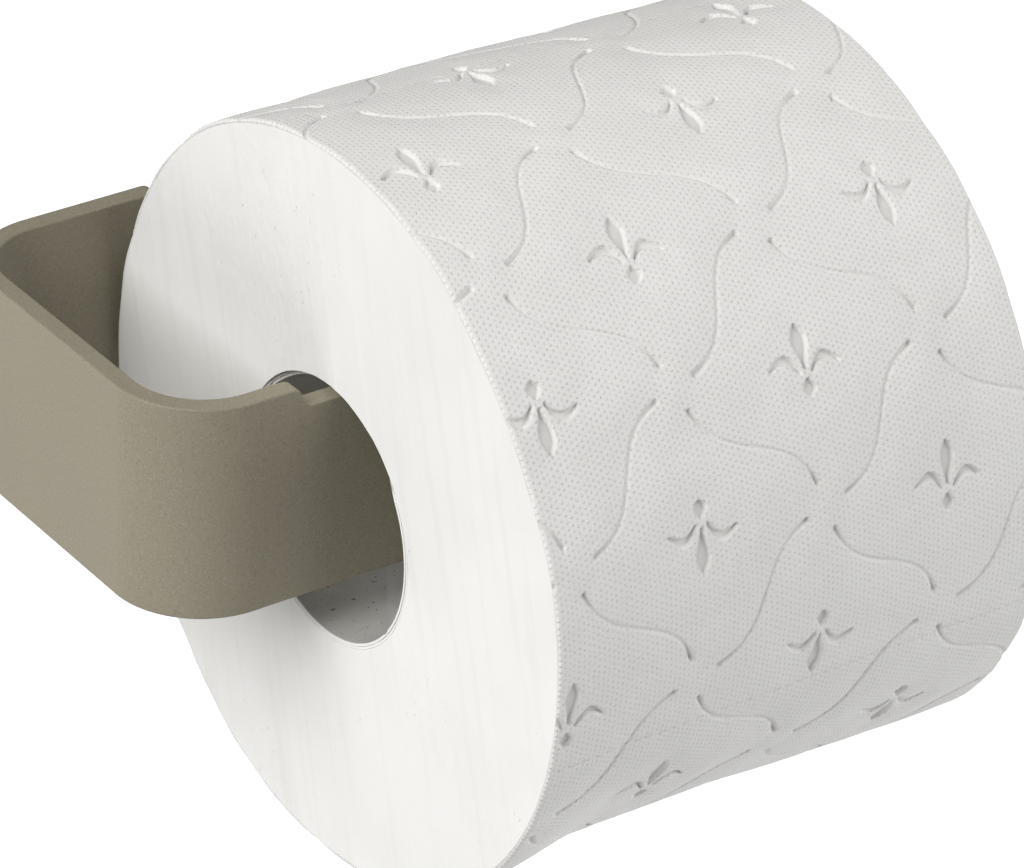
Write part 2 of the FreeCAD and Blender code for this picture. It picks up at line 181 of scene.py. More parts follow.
class Shader(Graph):
    """The node tree of one material, built round a Principled shader."""

    def __init__(self, name: str, colour: tuple[float, float, float], **constants: float) -> None:
        """Starts a material.

        Args:
            name: The material's name.
            colour: Its plain colour, kept as the viewport colour.
            constants: Principled inputs that are the same all over, by name with spaces as underscores.
        """
        self.material = bpy.data.materials.new(name)
        self.material.use_nodes = True
        self.material.diffuse_color = (*colour, 1.0)
        super().__init__(self.material.node_tree)
        self.surface = self.tree.nodes["Principled BSDF"]
        self.surface.inputs["Base Color"].default_value = (*colour, 1.0)
        for key, value in constants.items():
            self.surface.inputs[key.replace("_", " ")].default_value = value
        self.place = self.node("ShaderNodeTexCoord").outputs["Object"]

    def blend(self, factor: Number, first: object, second: object) -> bpy.types.NodeSocket:
        """A mix of two colours.

        Args:
            factor: 0 for the first, 1 for the second.
            first: Three parts of a colour, or a colour's socket.
            second: The same.

        Returns:
            The mixed colour's socket.
        """
        first, second = ((*end, 1.0) if isinstance(end, tuple) else end for end in (first, second))
        settings = {"data_type": "RGBA", "clamp_factor": True}
        return self.node("ShaderNodeMix", settings, {0: factor, 6: first, 7: second}).outputs[2]

    def colour(self, socket: bpy.types.NodeSocket) -> None:
        """Feeds the base colour."""
        self.feed(self.surface.inputs["Base Color"], socket)

    def roughness(self, value: Term) -> None:
        """Feeds the roughness."""
        self.feed(self.surface.inputs["Roughness"], value)

    def relief(self, height: Term, depth: float, strength: float = 1.0) -> None:
        """Adds a bump under those that are already there.

        Args:
            height: The relief, from 0 to 1.
            depth: How deep 1 is, in metres.
            strength: How much of it shows.
        """
        bump = self.node("ShaderNodeBump", None, {"Strength": strength, "Distance": depth, "Height": height})
        before = self.surface.inputs["Normal"].links
        if before:
            self.feed(bump.inputs["Normal"], before[0].from_socket)
        self.feed(self.surface.inputs["Normal"], bump.outputs[0])


class Sculptor(Graph):
    """A Geometry Nodes tree with named inputs."""

    def __init__(self, name: str) -> None:
        """Starts an empty tree that takes and gives a geometry."""
        super().__init__(bpy.data.node_groups.new(name, "GeometryNodeTree"))
        self.tree.interface.new_socket("Geometry", in_out="INPUT", socket_type="NodeSocketGeometry")
        self.tree.interface.new_socket("Geometry", in_out="OUTPUT", socket_type="NodeSocketGeometry")
        self.entry = self.tree.nodes.new("NodeGroupInput")
        self.exit = self.tree.nodes.new("NodeGroupOutput")
        self.names: dict[str, str] = {}

    def numbers(self, *names: str) -> list[Term]:
        """Named inputs that are lengths, angles or counts."""
        return [Term(self, self._input(name, "NodeSocketFloat")) for name in names]

    def vectors(self, *names: str) -> list[bpy.types.NodeSocket]:
        """Named inputs that are places or steps."""
        return [self._input(name, "NodeSocketVector") for name in names]

    def moved(self, geometry: bpy.types.NodeSocket, place: bpy.types.NodeSocket) -> bpy.types.NodeSocket:
        """The geometry with each point at its new place."""
        return self.node("GeometryNodeSetPosition", None, {0: geometry, 2: place}).outputs[0]

    def thing(self, name: str) -> bpy.types.NodeSocket:
        """The geometry of an object given as a named input."""
        socket = self._input(name, "NodeSocketObject")
        return self.node("GeometryNodeObjectInfo", None, {0: socket}).outputs["Geometry"]

    def _input(self, name: str, kind: str) -> bpy.types.NodeSocket:
        """Adds a named input and gives its socket inside the tree."""
        item = self.tree.interface.new_socket(name, in_out="INPUT", socket_type=kind)
        self.names[name] = item.identifier
        return self.entry.outputs[name]

    def end(self, geometry: bpy.types.NodeSocket, realise: bool = False) -> None:
        """Closes the tree: realised copies, then the material, then the output.

        Args:
            geometry: What the tree has made.
            realise: Whether there are instances to turn into a mesh.
        """
        if realise:
            geometry = self.node("GeometryNodeRealizeInstances", None, {0: geometry}).outputs[0]
        finish = self._input("Finish", "NodeSocketMaterial")
        dressed = self.node("GeometryNodeSetMaterial", None, {"Geometry": geometry, "Material": finish})
        self.feed(self.exit.inputs[0], dressed.outputs[0])

    def apply(self, piece: bpy.types.Object, values: dict[str, object]) -> None:
        """Runs the tree on a piece and keeps the result as its plain mesh.

        Args:
            piece: The object whose mesh goes through the tree.
            values: The named inputs.
        """
        modifier = piece.modifiers.new(self.tree.name, "NODES")
        modifier.node_group = self.tree
        for name, value in values.items():
            modifier[self.names[name]] = value
        settle(piece)


class Polar:
    """Each point of a tree's mesh as seen from an axis along X, which the tree takes as two inputs."""

    def __init__(self, tree: Sculptor) -> None:
        """Adds the inputs and works out the distances."""
        self.tree = tree
        self.axis_y, self.axis_z = tree.numbers("Axis Y", "Axis Z")
        self.position = tree.node("GeometryNodeInputPosition").outputs[0]
        self.x, self.y, self.z = tree.split(self.position)
        self.away_y, self.away_z = self.y - self.axis_y, self.z - self.axis_z
        self.radius = (self.away_y * self.away_y + self.away_z * self.away_z).root()
        self.turn = tree.math("ARCTAN2", self.away_z, self.away_y)

    def scaled(self, x: Term, grow: Term) -> bpy.types.NodeSocket:
        """The place at x along the axis, with the distance from the axis multiplied."""
        return self.tree.join(x, self.axis_y + self.away_y * grow, self.axis_z + self.away_z * grow)


def settle(piece: bpy.types.Object) -> None:
    """Turns a piece and its modifiers into one plain mesh."""
    graph = bpy.context.evaluated_depsgraph_get()
    mesh = bpy.data.meshes.new_from_object(piece.evaluated_get(graph), depsgraph=graph)
    piece.modifiers.clear()
    before = piece.data
    piece.data = mesh
    mesh.name = piece.name
    bpy.data.meshes.remove(before)


def carve(piece: bpy.types.Object, points: Sequence[Vector], faces: Sequence[tuple[int, ...]]) -> None:
    """Cuts a closed shape out of a piece.

    Args:
        piece: The piece.
        points: The shape's vertices.
        faces: Its faces.
    """
    cutter = new_piece("cutter", points, faces, None)
    outward(cutter)
    cut = piece.modifiers.new("cut", "BOOLEAN")
    cut.operation, cut.solver, cut.object = "DIFFERENCE", "EXACT", cutter
    settle(piece)
    discard(cutter)


# --------------------------------------------------------------------------- finishes


@dataclass(frozen=True)
class PowderCoat:
    """A fine matte powder coat in a warm grey green."""

    base: tuple[float, float, float] = (0.295, 0.265, 0.198)
    light: tuple[float, float, float] = (0.360, 0.328, 0.252)
    dark: tuple[float, float, float] = (0.234, 0.209, 0.152)
    grain: float = 3000.0

    def make(self) -> bpy.types.Material:
        """The material, with sand-fine grains, a slow drift of tone and orange peel."""
        shader = Shader("powder_coat", self.base, Metallic=0.0, Specular_IOR_Level=0.36, IOR=1.5)
        place = shader.place
        grains = shader.noise(place, self.grain, 1.0)
        specks = grains.rising(0.58, 0.72)
        pits = 1.0 - grains.rising(0.28, 0.42)
        drift = shader.noise(place, 26.0, 3.0).rising(0.35, 0.68)
        toned = shader.blend(drift * 0.20, self.base, self.light)
        lit = shader.blend(specks * 0.85, toned, self.light)
        shader.colour(shader.blend(pits * 0.85, lit, self.dark))
        shader.roughness(0.52 + grains * 0.16 + drift * 0.05)
        peel = shader.noise(place, 620.0, 2.0)
        shader.relief(peel, 0.00010, 0.22)
        shader.relief(grains, 0.00005, 0.70)
        return shader.material


@dataclass(frozen=True)
class Tissue:
    """Soft off-white tissue pricked with a close staggered pattern of small pits; the pits and the pressed
    pattern are painted darker as painted shade.
    """

    base: tuple[float, float, float] = (0.880, 0.872, 0.855)
    # shade: the darker tone for random cloud and fibre, and painted shade in the pits and the pressed
    # grooves.
    shade: tuple[float, float, float] = (0.640, 0.632, 0.612)
    dot_pitch: float = 0.00104
    uv_scale: float = 0.14

    def make(self) -> bpy.types.Material:
        """The material, which reads the sheet's own flat coordinates."""
        dull = {"Roughness": 0.94, "Specular_IOR_Level": 0.08, "Sheen_Weight": 0.05}
        shader = Shader("tissue_side", self.base, **dull)
        flat = shader.node("ShaderNodeUVMap", {"uv_map": "UVMap"}).outputs[0]
        across, along, _ = shader.split(flat)
        turns = 2.0 * math.pi * self.uv_scale / (self.dot_pitch * math.sqrt(3.0) / 2.0)
        warp = (shader.noise(flat, 42.0, 2.0) - 0.5) * 5.0
        other = (shader.noise(flat, 57.0, 2.0) - 0.5) * 5.0
        lean, rise = across * turns + warp, along * turns + other
        half = lean * 0.5
        steep = rise * (math.sqrt(3.0) / 2.0)
        waves = lean.cosine() + (half + steep).cosine() + (half - steep).cosine()
        pit_strength = shader.noise(flat, 110.0, 2.0)
        read = shader.node("ShaderNodeAttribute", {"attribute_name": "pressed"})
        pressed = Term(shader, read.outputs["Fac"])
        # The pits' mask also darkens their colour below: painted shade in the dimples.
        pits = waves.rising(0.55, 2.6) * (0.30 + 0.85 * pit_strength) * (1.0 - pressed.rising(0.15, 0.6))
        fibre = shader.noise(shader.stretched(shader.place, (1.0, 1.6, 1.6)), 2600.0, 2.0)
        cloud = shader.noise(shader.place, 75.0, 3.0).rising(0.34, 0.66)
        # Colour: painted shade in the pits and in the pressed grooves and leaves, with random cloud and
        # fibre tone.
        tone = pits * 0.32 + cloud * 0.10 + fibre * 0.24 + pressed * 0.20
        shader.colour(shader.blend(tone, self.base, self.shade))
        shader.relief(cloud, 0.00025, 0.20)
        shader.relief(1.0 - pits, 0.00022, 0.62)
        shader.relief(fibre, 0.00005, 0.50)
        return shader.material


@dataclass(frozen=True)
class CutTissue:
    """The sawn ends of the winding: bright, with long saw marks, dust and a few torn specks."""

    base: tuple[float, float, float] = (0.870, 0.866, 0.852)
    shade: tuple[float, float, float] = (0.770, 0.764, 0.748)
    speck: tuple[float, float, float] = (0.330, 0.320, 0.300)

    def make(self) -> bpy.types.Material:
        """The material, which reads the object's coordinates."""
        shader = Shader("tissue_end", self.base, Roughness=0.95, Specular_IOR_Level=0.08, Sheen_Weight=0.08)
        place = shader.place
        lean = {"Vector": place, "Rotation": (SAW_LEAN, 0.0, 0.0)}
        turned = shader.node("ShaderNodeMapping", {"vector_type": "POINT"}, lean).outputs[0]
        marks = shader.noise(shader.stretched(turned, (1.0, 1.0, 0.05)), 420.0, 3.0)
        dust = shader.noise(place, 2400.0, 2.0)
        cloud = shader.noise(place, 60.0, 3.0).rising(0.36, 0.66)
        patch = shader.noise(place, 34.0, 1.0).rising(0.50, 0.66)
        tears = shader.noise(shader.stretched(turned, (1.0, 1.0, 0.55)), 1900.0, 1.0).rising(0.72, 0.80)
        tone = marks.rising(0.50, 0.80) * 0.40 + cloud * 0.22 + dust * 0.14
        plain = shader.blend(tone, self.base, self.shade)
        shader.colour(shader.blend(tears * patch * 0.45, plain, self.speck))
        crumbs = shader.noise(shader.stretched(turned, (1.0, 1.0, 0.6)), 620.0, 4.0)
        shader.relief(marks, 0.00022, 0.50)
        shader.relief(crumbs * (0.35 + patch), 0.00045, 0.40)
        shader.relief(dust, 0.00006, 0.50)
        return shader.material


@dataclass(frozen=True)
class GreyBoard:
    """Uncoated recycled board, with short fibres and dark flecks, and white with dust where it was sawn,
    apart from the crown, which stays grey as painted shade.
    """

    ends: tuple[float, float]
    crown: float
    base: tuple[float, float, float] = (0.500, 0.496, 0.474)
    light: tuple[float, float, float] = (0.640, 0.635, 0.610)
    dust: tuple[float, float, float] = (0.850, 0.846, 0.830)
    fleck: tuple[float, float, float] = (0.110, 0.100, 0.082)

    def make(self) -> bpy.types.Material:
        """The material, which reads the object's coordinates."""
        shader = Shader("grey_board", self.base, Roughness=0.9, Specular_IOR_Level=0.15)
        place = shader.place
        x, _, z = shader.split(place)
        fibre = shader.noise(shader.stretched(place, (0.35, 1.0, 1.0)), 1500.0, 3.0)
        cloud = shader.noise(place, 120.0, 3.0).rising(0.32, 0.68)
        flecks = shader.noise(place, 1500.0, 0.0).rising(0.76, 0.82)
        plain = shader.blend(cloud * 0.6 + fibre * 0.4, self.base, self.light)
        dotted = shader.blend(flecks * 0.7, plain, self.fleck)
        # Sawn ends are whitened as dust, but not near the crown, which is kept grey as painted shade.
        to_end = (x - self.ends[0]).smallest(self.ends[1] - x)
        below_shaded_crown = 1.0 - z.rising(self.crown - 0.006, self.crown - 0.001)
        dust_and_painted_shade = (1.0 - to_end.rising(0.00010, 0.00034)) * below_shaded_crown
        shader.colour(shader.blend(dust_and_painted_shade, dotted, self.dust))
        shader.relief(fibre, 0.00006, 0.5)
        return shader.material


@dataclass(frozen=True)
class ZincPlate:
    """Bright zinc plate, faintly brushed round the screw."""

    base: tuple[float, float, float] = (0.66, 0.67, 0.66)
    dull: tuple[float, float, float] = (0.47, 0.48, 0.48)

    def make(self) -> bpy.types.Material:
        """The material, which reads the object's coordinates."""
        shader = Shader("zinc_plate", self.base, Metallic=1.0)
        cloud = shader.noise(shader.place, 700.0, 3.0).rising(0.3, 0.7)
        fine = shader.noise(shader.stretched(shader.place, (1.0, 0.2, 1.0)), 5000.0, 2.0)
        shader.colour(shader.blend(cloud, self.base, self.dull))
        shader.roughness(0.26 + cloud * 0.16 + fine * 0.08)
        shader.relief(fine, 0.00001, 0.4)
        return shader.material


@dataclass(frozen=True)
class MouldedNylon:
    """Grey moulded nylon with a soft spark-eroded grain."""

    base: tuple[float, float, float] = (0.34, 0.35, 0.36)
    light: tuple[float, float, float] = (0.42, 0.43, 0.44)

    def make(self) -> bpy.types.Material:
        """The material, which reads the object's coordinates."""
        shader = Shader("moulded_nylon", self.base, Specular_IOR_Level=0.5)
        cloud = shader.noise(shader.place, 300.0, 3.0).rising(0.3, 0.7)
        grain = shader.noise(shader.place, 5200.0, 1.0)
        shader.colour(shader.blend(cloud * 0.6, self.base, self.light))
        shader.roughness(0.42 + grain * 0.2)
        shader.relief(grain, 0.00002, 0.5)
        return shader.material


@dataclass(frozen=True)
class PaleFloor:
    """The plain floor far below the holder, lit from beneath on the far side."""

    base: tuple[float, float, float] = (0.45, 0.45, 0.45)
    near_glow: float = 0.05
    far_glow: float = 1.10
    ahead: tuple[float, float] = (0.60, 0.80)

    def make(self) -> bpy.types.Material:
        """The material, which glows so that the far side stays white."""
        matte = {"Roughness": 0.9, "Specular_IOR_Level": 0.0, "Emission_Strength": 1.0}
        shader = Shader("pale_floor", self.base, **matte)
        x, y, _ = shader.split(shader.place)
        far = (x * self.ahead[0] + y * self.ahead[1]).rising(-0.15, 0.32)
        glow = shader.blend(far, (self.near_glow,) * 3, (self.far_glow,) * 3)
        shader.feed(shader.surface.inputs["Emission Color"], glow)
        return shader.material


# --------------------------------------------------------------------------- mesh helpers


def new_piece(
    name: str, points: Sequence, faces: Sequence, finish: bpy.types.Material | None
) -> bpy.types.Object:
    """Makes a smooth-shaded object from points and faces.

    Args:
        name: The piece's name.
        points: Its vertices.
        faces: Vertex numbers of each face, counter-clockwise from outside.
        finish: Its material, or None for a helper.

    Returns:
        The object, linked to the scene.
    """
    mesh = bpy.data.meshes.new(name)
    mesh.from_pydata([tuple(p) for p in points], [], [tuple(f) for f in faces])
    mesh.validate()
    mesh.shade_smooth()
    if finish is not None:
        mesh.materials.append(finish)
    piece = bpy.data.objects.new(name, mesh)
    bpy.context.collection.objects.link(piece)
    return piece


def discard(*helpers: bpy.types.Object) -> None:
    """Removes helper objects and their meshes."""
    for helper in helpers:
        mesh = helper.data
        bpy.data.objects.remove(helper)
        bpy.data.meshes.remove(mesh)


def outward(piece: bpy.types.Object) -> None:
    """Merges doubles and turns every face outwards."""
    mesh = bmesh.new()
    mesh.from_mesh(piece.data)
    bmesh.ops.remove_doubles(mesh, verts=mesh.verts, dist=1e-7)
    bmesh.ops.recalc_face_normals(mesh, faces=mesh.faces)
    mesh.to_mesh(piece.data)
    mesh.free()


def crease(piece: bpy.types.Object, degrees: float) -> None:
    """Shades a piece smooth, apart from edges sharper than the angle."""
    piece.data.shade_smooth()
    piece.data.set_sharp_from_angle(angle=math.radians(degrees))


def lathe(profile: Loop, sides: int, closed: bool) -> tuple[list[Vector], list[tuple[int, ...]]]:
    """Turns a profile about the X axis.

    Args:
        profile: (along, radius) pairs; a closed one is a ring's section.
        sides: Steps round the axis.
        closed: Whether the last pair joins the first; if not, both ends lie on the axis.

    Returns:
        The points and the faces.
    """
    points: list[Vector] = []
    rings: list[list[int]] = []
    for along, radius in profile:
        if radius < 1e-9:
            rings.append([len(points)] * sides)
            points.append(Vector((along, 0.0, 0.0)))
            continue
        rings.append(list(range(len(points), len(points) + sides)))
        for step in range(sides):
            turn = 2.0 * math.pi * step / sides
            points.append(Vector((along, radius * math.cos(turn), radius * math.sin(turn))))
    pairs = list(zip(rings, rings[1:]))
    if closed:
        pairs.append((rings[-1], rings[0]))
    faces = []
    for low, high in pairs:
        for step in range(sides):
            after = (step + 1) % sides
            corners = (low[step], low[after], high[after], high[step])
            face = tuple(dict.fromkeys(corners))
            if len(face) > 2:
                faces.append(face)
    return points, faces


def quarter(radius: float, steps: int) -> Loop:
    """(inset, depth) pairs round a quarter circle, from flush with the face to flush with the side."""
    turns = [math.pi / 2.0 * step / steps for step in range(steps + 1)]
    return [(radius * (1.0 - math.sin(turn)), radius * (1.0 - math.cos(turn))) for turn in turns]


def dress(piece: bpy.types.Object, body: str, slot: str, *nodes: str) -> None:
    """Gives a finished piece its body and hides the CAD nodes that it stands for.

    Args:
        piece: The finished piece.
        body: The CAD body that it moves with.
        slot: Its material slot's name; not used.
        nodes: CAD nodes that it replaces.
    """
    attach(piece, body)
    if nodes:
        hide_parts(*nodes)
    LOG.info("%s: %d faces on %s", piece.name, len(piece.data.polygons), body)


# --------------------------------------------------------------------------- the holder


class Fall(Enum):
    """Which way along the strip a step falls."""

    AHEAD = 1
    BACK = -1


@dataclass
class Strip:
    """The bent strip, laid out flat and then wrapped round its two bends."""

    low: Vector
    high: Vector
    thickness: float = 0.0034
    wall_bend: float = 0.0150
    front_bend: float = 0.0155
    leg_end: float = 0.0390
    end_corner: float = 0.0040
    soft_edge: float = 0.00036
    step_depth: float = 0.0035
    step_radius: float = 0.0020
    side_to_saddle: float = 0.0220
    side_to_leg_step: float = 0.0370
    saddle_floor: float = 0.1004
    support: float = 0.00018
    drill_radius: float = 0.00200
    mouth_radius: float = 0.00395

    def __post_init__(self) -> None:
        """Works out the lengths along the strip at which each stretch begins."""
        self.side = self.low.x
        self.depth = -self.low.y
        self.leg = self.leg_end - (self.side + self.wall_bend)
        self.wall_arc = self.wall_bend * math.pi / 2.0
        self.straight = self.depth - self.wall_bend - self.front_bend
        self.front_arc = self.front_bend * math.pi / 2.0
        self.arm = self.high.x - (self.side + self.front_bend)
        both = 2.0 * self.step_radius
        self.step_width = math.sqrt(both**2 - (both - self.step_depth) ** 2)
        bends = self.leg + self.wall_arc + self.straight + self.front_arc
        self.length = bends + self.arm
        self.leg_step = self.leg_end - (self.side + self.side_to_leg_step)
        self.saddle = bends + self.side_to_saddle - self.front_bend
        self.saddle_end = self.saddle + 2.0 * self.step_width + self.saddle_floor

    def wrapped(self, along: float, level: float, inset: float) -> Vector:
        """Where a point of the flat strip lies once the strip is bent.

        Args:
            along: Distance from the leg's end, measured on the outer face.
            level: Height.
            inset: Depth below the outer face.

        Returns:
            The place in the frame.
        """
        if along <= self.leg:
            return Vector((self.leg_end - along, -inset, level))
        along -= self.leg
        if along <= self.wall_arc:
            turn = math.pi / 2.0 + along / self.wall_bend
            reach = self.wall_bend - inset
            centre = (self.side + self.wall_bend, -self.wall_bend)
            return Vector((centre[0] + reach * math.cos(turn), centre[1] + reach * math.sin(turn), level))
        along -= self.wall_arc
        if along <= self.straight:
            return Vector((self.side + inset, -self.wall_bend - along, level))
        along -= self.straight
        if along <= self.front_arc:
            turn = math.pi + along / self.front_bend
            reach = self.front_bend - inset
            centre = (self.side + self.front_bend, self.front_bend - self.depth)
            return Vector((centre[0] + reach * math.cos(turn), centre[1] + reach * math.sin(turn), level))
        along -= self.front_arc
        return Vector((self.side + self.front_bend + along, inset - self.depth, level))

    def falling_step(self, start: float, top: float, way: Fall) -> Loop:
        """An S-shaped step between the top and the floor.

        Args:
            start: Where it leaves the top, along the strip.
            top: The top's height.
            way: Whether it falls as the length grows or as it shrinks.

        Returns:
            (along, level) pairs from the top to the floor.
        """
        reach = math.asin(self.step_width / 2.0 / self.step_radius)
        turns = [reach * step / 7 for step in range(8)]
        radius = self.step_radius
        first = [(radius * math.sin(t), -radius * (1.0 - math.cos(t))) for t in turns]
        second = [(self.step_width - x, -self.step_depth - z) for x, z in reversed(first[:-1])]
        return [(start + way.value * x, top + z) for x, z in first + second]

    def outline(self) -> tuple[Loop, Loop]:
        """The top and bottom edges of the flat strip, point for point.

        Returns:
            (along, level) pairs of the top edge and of the bottom edge, from the leg's end to the arm's.
        """
        top, floor, bottom = self.high.z, self.high.z - self.step_depth, self.low.z
        corner = self.end_corner
        turns = [math.pi / 2.0 * step / 8 for step in range(9)]
        rise = [(corner * (1.0 - math.cos(t)), -corner * (1.0 - math.sin(t))) for t in turns]
        upper = [(x, floor + z) for x, z in rise]
        upper += self.spread(corner, self.leg_step - self.step_width, floor, 0.006)
        upper += list(reversed(self.falling_step(self.leg_step, top, Fall.BACK)))
        upper += self.bends(top)
        upper += self.falling_step(self.saddle, top, Fall.AHEAD)
        upper += self.spread(self.saddle + self.step_width, self.saddle_end - self.step_width, floor, 0.006)
        upper += list(reversed(self.falling_step(self.saddle_end, top, Fall.BACK)))
        upper += [(self.length - x, top + z) for x, z in reversed(rise)]
        ends = len(rise)
        lower = [(x, bottom - z) for x, z in rise]
        lower += [(x, bottom) for x, _ in upper[ends:-ends]]
        lower += [(self.length - x, bottom - z) for x, z in reversed(rise)]
        return upper, lower

    def spread(self, start: float, end: float, level: float, pitch: float) -> Loop:
        """Evenly spread points strictly between two places of a level edge."""
        count = max(2, round((end - start) / pitch))
        return [(start + (end - start) * step / count, level) for step in range(1, count)]

    def bends(self, level: float) -> Loop:
        """The edge between the leg's step and the saddle, with close points round the bends."""
        joints = [self.leg, self.wall_arc, self.straight, self.front_arc]
        places = [sum(joints[: index + 1]) for index in range(4)]
        edge = self.spread(self.leg_step, places[0], level, 0.004)
        for start, end, pitch in (
            (places[0], places[1], 0.0007),
            (places[1], places[2], 0.004),
            (places[2], places[3], 0.0007),
        ):
            edge.append((start, level))
            edge += self.spread(start, end, level, pitch)
        edge.append((places[3], level))
        return edge + self.spread(places[3], self.saddle, level, 0.002)

    def build(self, finish: bpy.types.Material, holes: Iterable[Vector]) -> bpy.types.Object:
        """Makes the strip's mesh and drills it.

        Args:
            finish: Its material.
            holes: Centres of the screw holes on the wall's plane.

        Returns:
            The finished strip.
        """
        upper, lower = self.outline()
        loop = np.array(upper + lower[::-1])
        ahead = np.roll(loop, -1, axis=0) - np.roll(loop, 1, axis=0)
        normal = np.stack([-ahead[:, 1], ahead[:, 0]], axis=1)
        normal /= np.linalg.norm(normal, axis=1, keepdims=True)
        flush = quarter(self.soft_edge, 4)
        levels = [(self.soft_edge + self.support, 0.0)] + flush
        levels.append((0.0, self.soft_edge + self.support))
        levels += [(inset, self.thickness - depth) for inset, depth in reversed(levels)]
        points, rings = [], []
        for inset, depth in levels:
            rings.append(range(len(points), len(points) + len(loop)))
            points += [self.wrapped(x, z, depth) for x, z in loop - normal * inset]
        faces = []
        count = len(loop)
        after = [(i + 1) % count for i in range(count)]
        for near, far in zip(rings, rings[1:]):
            faces += [(near[i], near[after[i]], far[after[i]], far[i]) for i in range(count)]
        for ring in (rings[0], rings[-1]):
            for i in range(len(upper) - 1):
                faces.append((ring[i], ring[i + 1], ring[count - 2 - i], ring[count - 1 - i]))
        piece = new_piece("strip", points, faces, finish)
        outward(piece)
        for centre in holes:
            self.drill(piece, centre)
        crease(piece, 38.0)
        return piece

    def drill(self, piece: bpy.types.Object, centre: Vector) -> None:
        """Cuts one countersunk hole through the wall leg.

        Args:
            piece: The strip.
            centre: The hole's centre on the wall's plane.
        """
        bore, mouth, inner = self.drill_radius, self.mouth_radius, self.thickness
        past = 0.001
        profile = [
            (-past, 0.0),
            (-past, bore),
            (inner - (mouth - bore), bore),
            (inner + past, mouth + past),
            (inner + past, 0.0),
        ]
        points, faces = lathe(profile, 48, closed=False)
        turn = Matrix.Translation(centre) @ Matrix.Rotation(-math.pi / 2.0, 4, "Z")
        carve(piece, [turn @ p for p in points], faces)


@dataclass
class WoodScrew:
    """A countersunk cross-recess wood screw that points into the wall."""

    low: Vector
    high: Vector
    head_radius: float = 0.0035
    head_lip: float = 0.0002
    head_round: float = 0.00015
    head_rise: float = 0.00012
    shank: float = 0.00175
    root: float = 0.00125
    plain: float = 0.0080
    run_out: float = 0.0005
    tip: float = 0.0035
    blunt: float = 0.0006
    blunt_radius: float = 0.0004
    thread_pitch: float = 0.0018
    recess_span: float = 0.00195
    recess_width: float = 0.00050
    recess_depth: float = 0.0015
    recess_taper: float = 0.42
    thread_end: float = 0.0016
    thread_taper: float = 0.62

    def body(self) -> bpy.types.Object:
        """The turned blank with its recess cut."""
        length = self.high.y - self.low.y
        cone = self.head_lip + self.head_radius - self.shank
        profile = [
            (0.0, 0.0),
            (0.0, self.head_radius - self.head_round),
            (self.head_rise, self.head_radius),
            (self.head_lip, self.head_radius),
            (cone, self.shank),
            (self.plain, self.shank),
            (self.plain + self.run_out, self.root),
            (length - self.tip, self.root),
            (length - self.blunt, self.blunt_radius),
            (length, 0.0),
        ]
        points, faces = lathe(profile, 48, closed=False)
        piece = new_piece("screw", points, faces, None)
        outward(piece)
        self.punch(piece)
        return piece

    def punch(self, piece: bpy.types.Object) -> None:
        """Presses the tapered cross into the head."""
        faces = [(0, 1, 2, 3), (7, 6, 5, 4), (0, 4, 5, 1), (1, 5, 6, 2), (2, 6, 7, 3), (3, 7, 4, 0)]
        for turned in (0.0, math.pi / 2.0):
            corners = []
            for along, scale in ((-0.0005, 1.0), (self.recess_depth, self.recess_taper)):
                half = self.recess_span * scale
                thin = self.recess_width * (0.5 + 0.5 * scale)
                square = ((-half, -thin), (half, -thin), (half, thin), (-half, thin))
                corners += [Vector((along, y, z)) for y, z in square]
            turn = Matrix.Rotation(turned, 4, "X")
            carve(piece, [turn @ corner for corner in corners], faces)

    def threader(self) -> Sculptor:
        """The tree that winds a thread round the blank.

        Returns:
            The tree, whose inputs are the thread's start, length, pitch and radii.
        """
        tree = Sculptor("screw thread")
        start, length, pitch, radius, ridge = tree.numbers("Start", "Length", "Pitch", "Radius", "Ridge")
        winds = {"Resolution": 20, "Rotations": length / pitch, "Start Radius": radius,
                 "End Radius": radius * self.thread_taper, "Height": length}
        helix = tree.node("GeometryNodeCurveSpiral", None, winds).outputs[0]
        circle = {"Resolution": 5, "Radius": ridge}
        section = tree.node("GeometryNodeCurvePrimitiveCircle", None, circle).outputs[0]
        sweep = {"Curve": helix, "Profile Curve": section, "Fill Caps": True}
        ribbon = tree.node("GeometryNodeCurveToMesh", None, sweep).outputs[0]
        along_x = {"Geometry": ribbon, "Translation": tree.join(start, 0.0, 0.0),
                   "Rotation": (0.0, math.pi / 2.0, 0.0)}
        laid = tree.node("GeometryNodeTransform", None, along_x).outputs[0]
        joined = tree.node("GeometryNodeJoinGeometry")
        tree.feed(joined.inputs[0], tree.entry.outputs[0])
        tree.feed(joined.inputs[0], laid)
        tree.end(joined.outputs[0], realise=True)
        return tree

    def build(self, label: str, finish: bpy.types.Material) -> bpy.types.Object:
        """Makes the screw in its place.

        Args:
            label: Which screw it is.
            finish: Its material.

        Returns:
            The finished screw.
        """
        piece = self.body()
        piece.name = f"screw_{label}"
        threaded = self.high.y - self.low.y - self.plain - self.thread_end
        self.threader().apply(
            piece,
            {"Start": self.plain, "Length": threaded, "Pitch": self.thread_pitch, "Radius": self.root,
             "Ridge": self.shank - self.root, "Finish": finish},
        )
        middle = (self.low + self.high) / 2.0
        centre = Vector((middle.x, self.low.y, middle.z))
        piece.data.transform(Matrix.Translation(centre) @ Matrix.Rotation(math.pi / 2.0, 4, "Z"))
        crease(piece, 32.0)
        return piece


# --------------------------------------------------------------------------- the roll

SAW_LEAN = math.radians(14.0)


@dataclass(frozen=True)
class Swell:
    """A smooth bump or dent at one angle round the roll, in degrees and metres."""

    centre: float
    flat: float
    reach: float
    height: float

    def at(self, graph: Graph, degrees: Term) -> Term:
        """Its height at an angle."""
        off = graph.math("FLOORED_MODULO", degrees - self.centre + 540.0, 360.0) - 180.0
        return (1.0 - off.absolute().rising(self.flat, self.reach)) * self.height


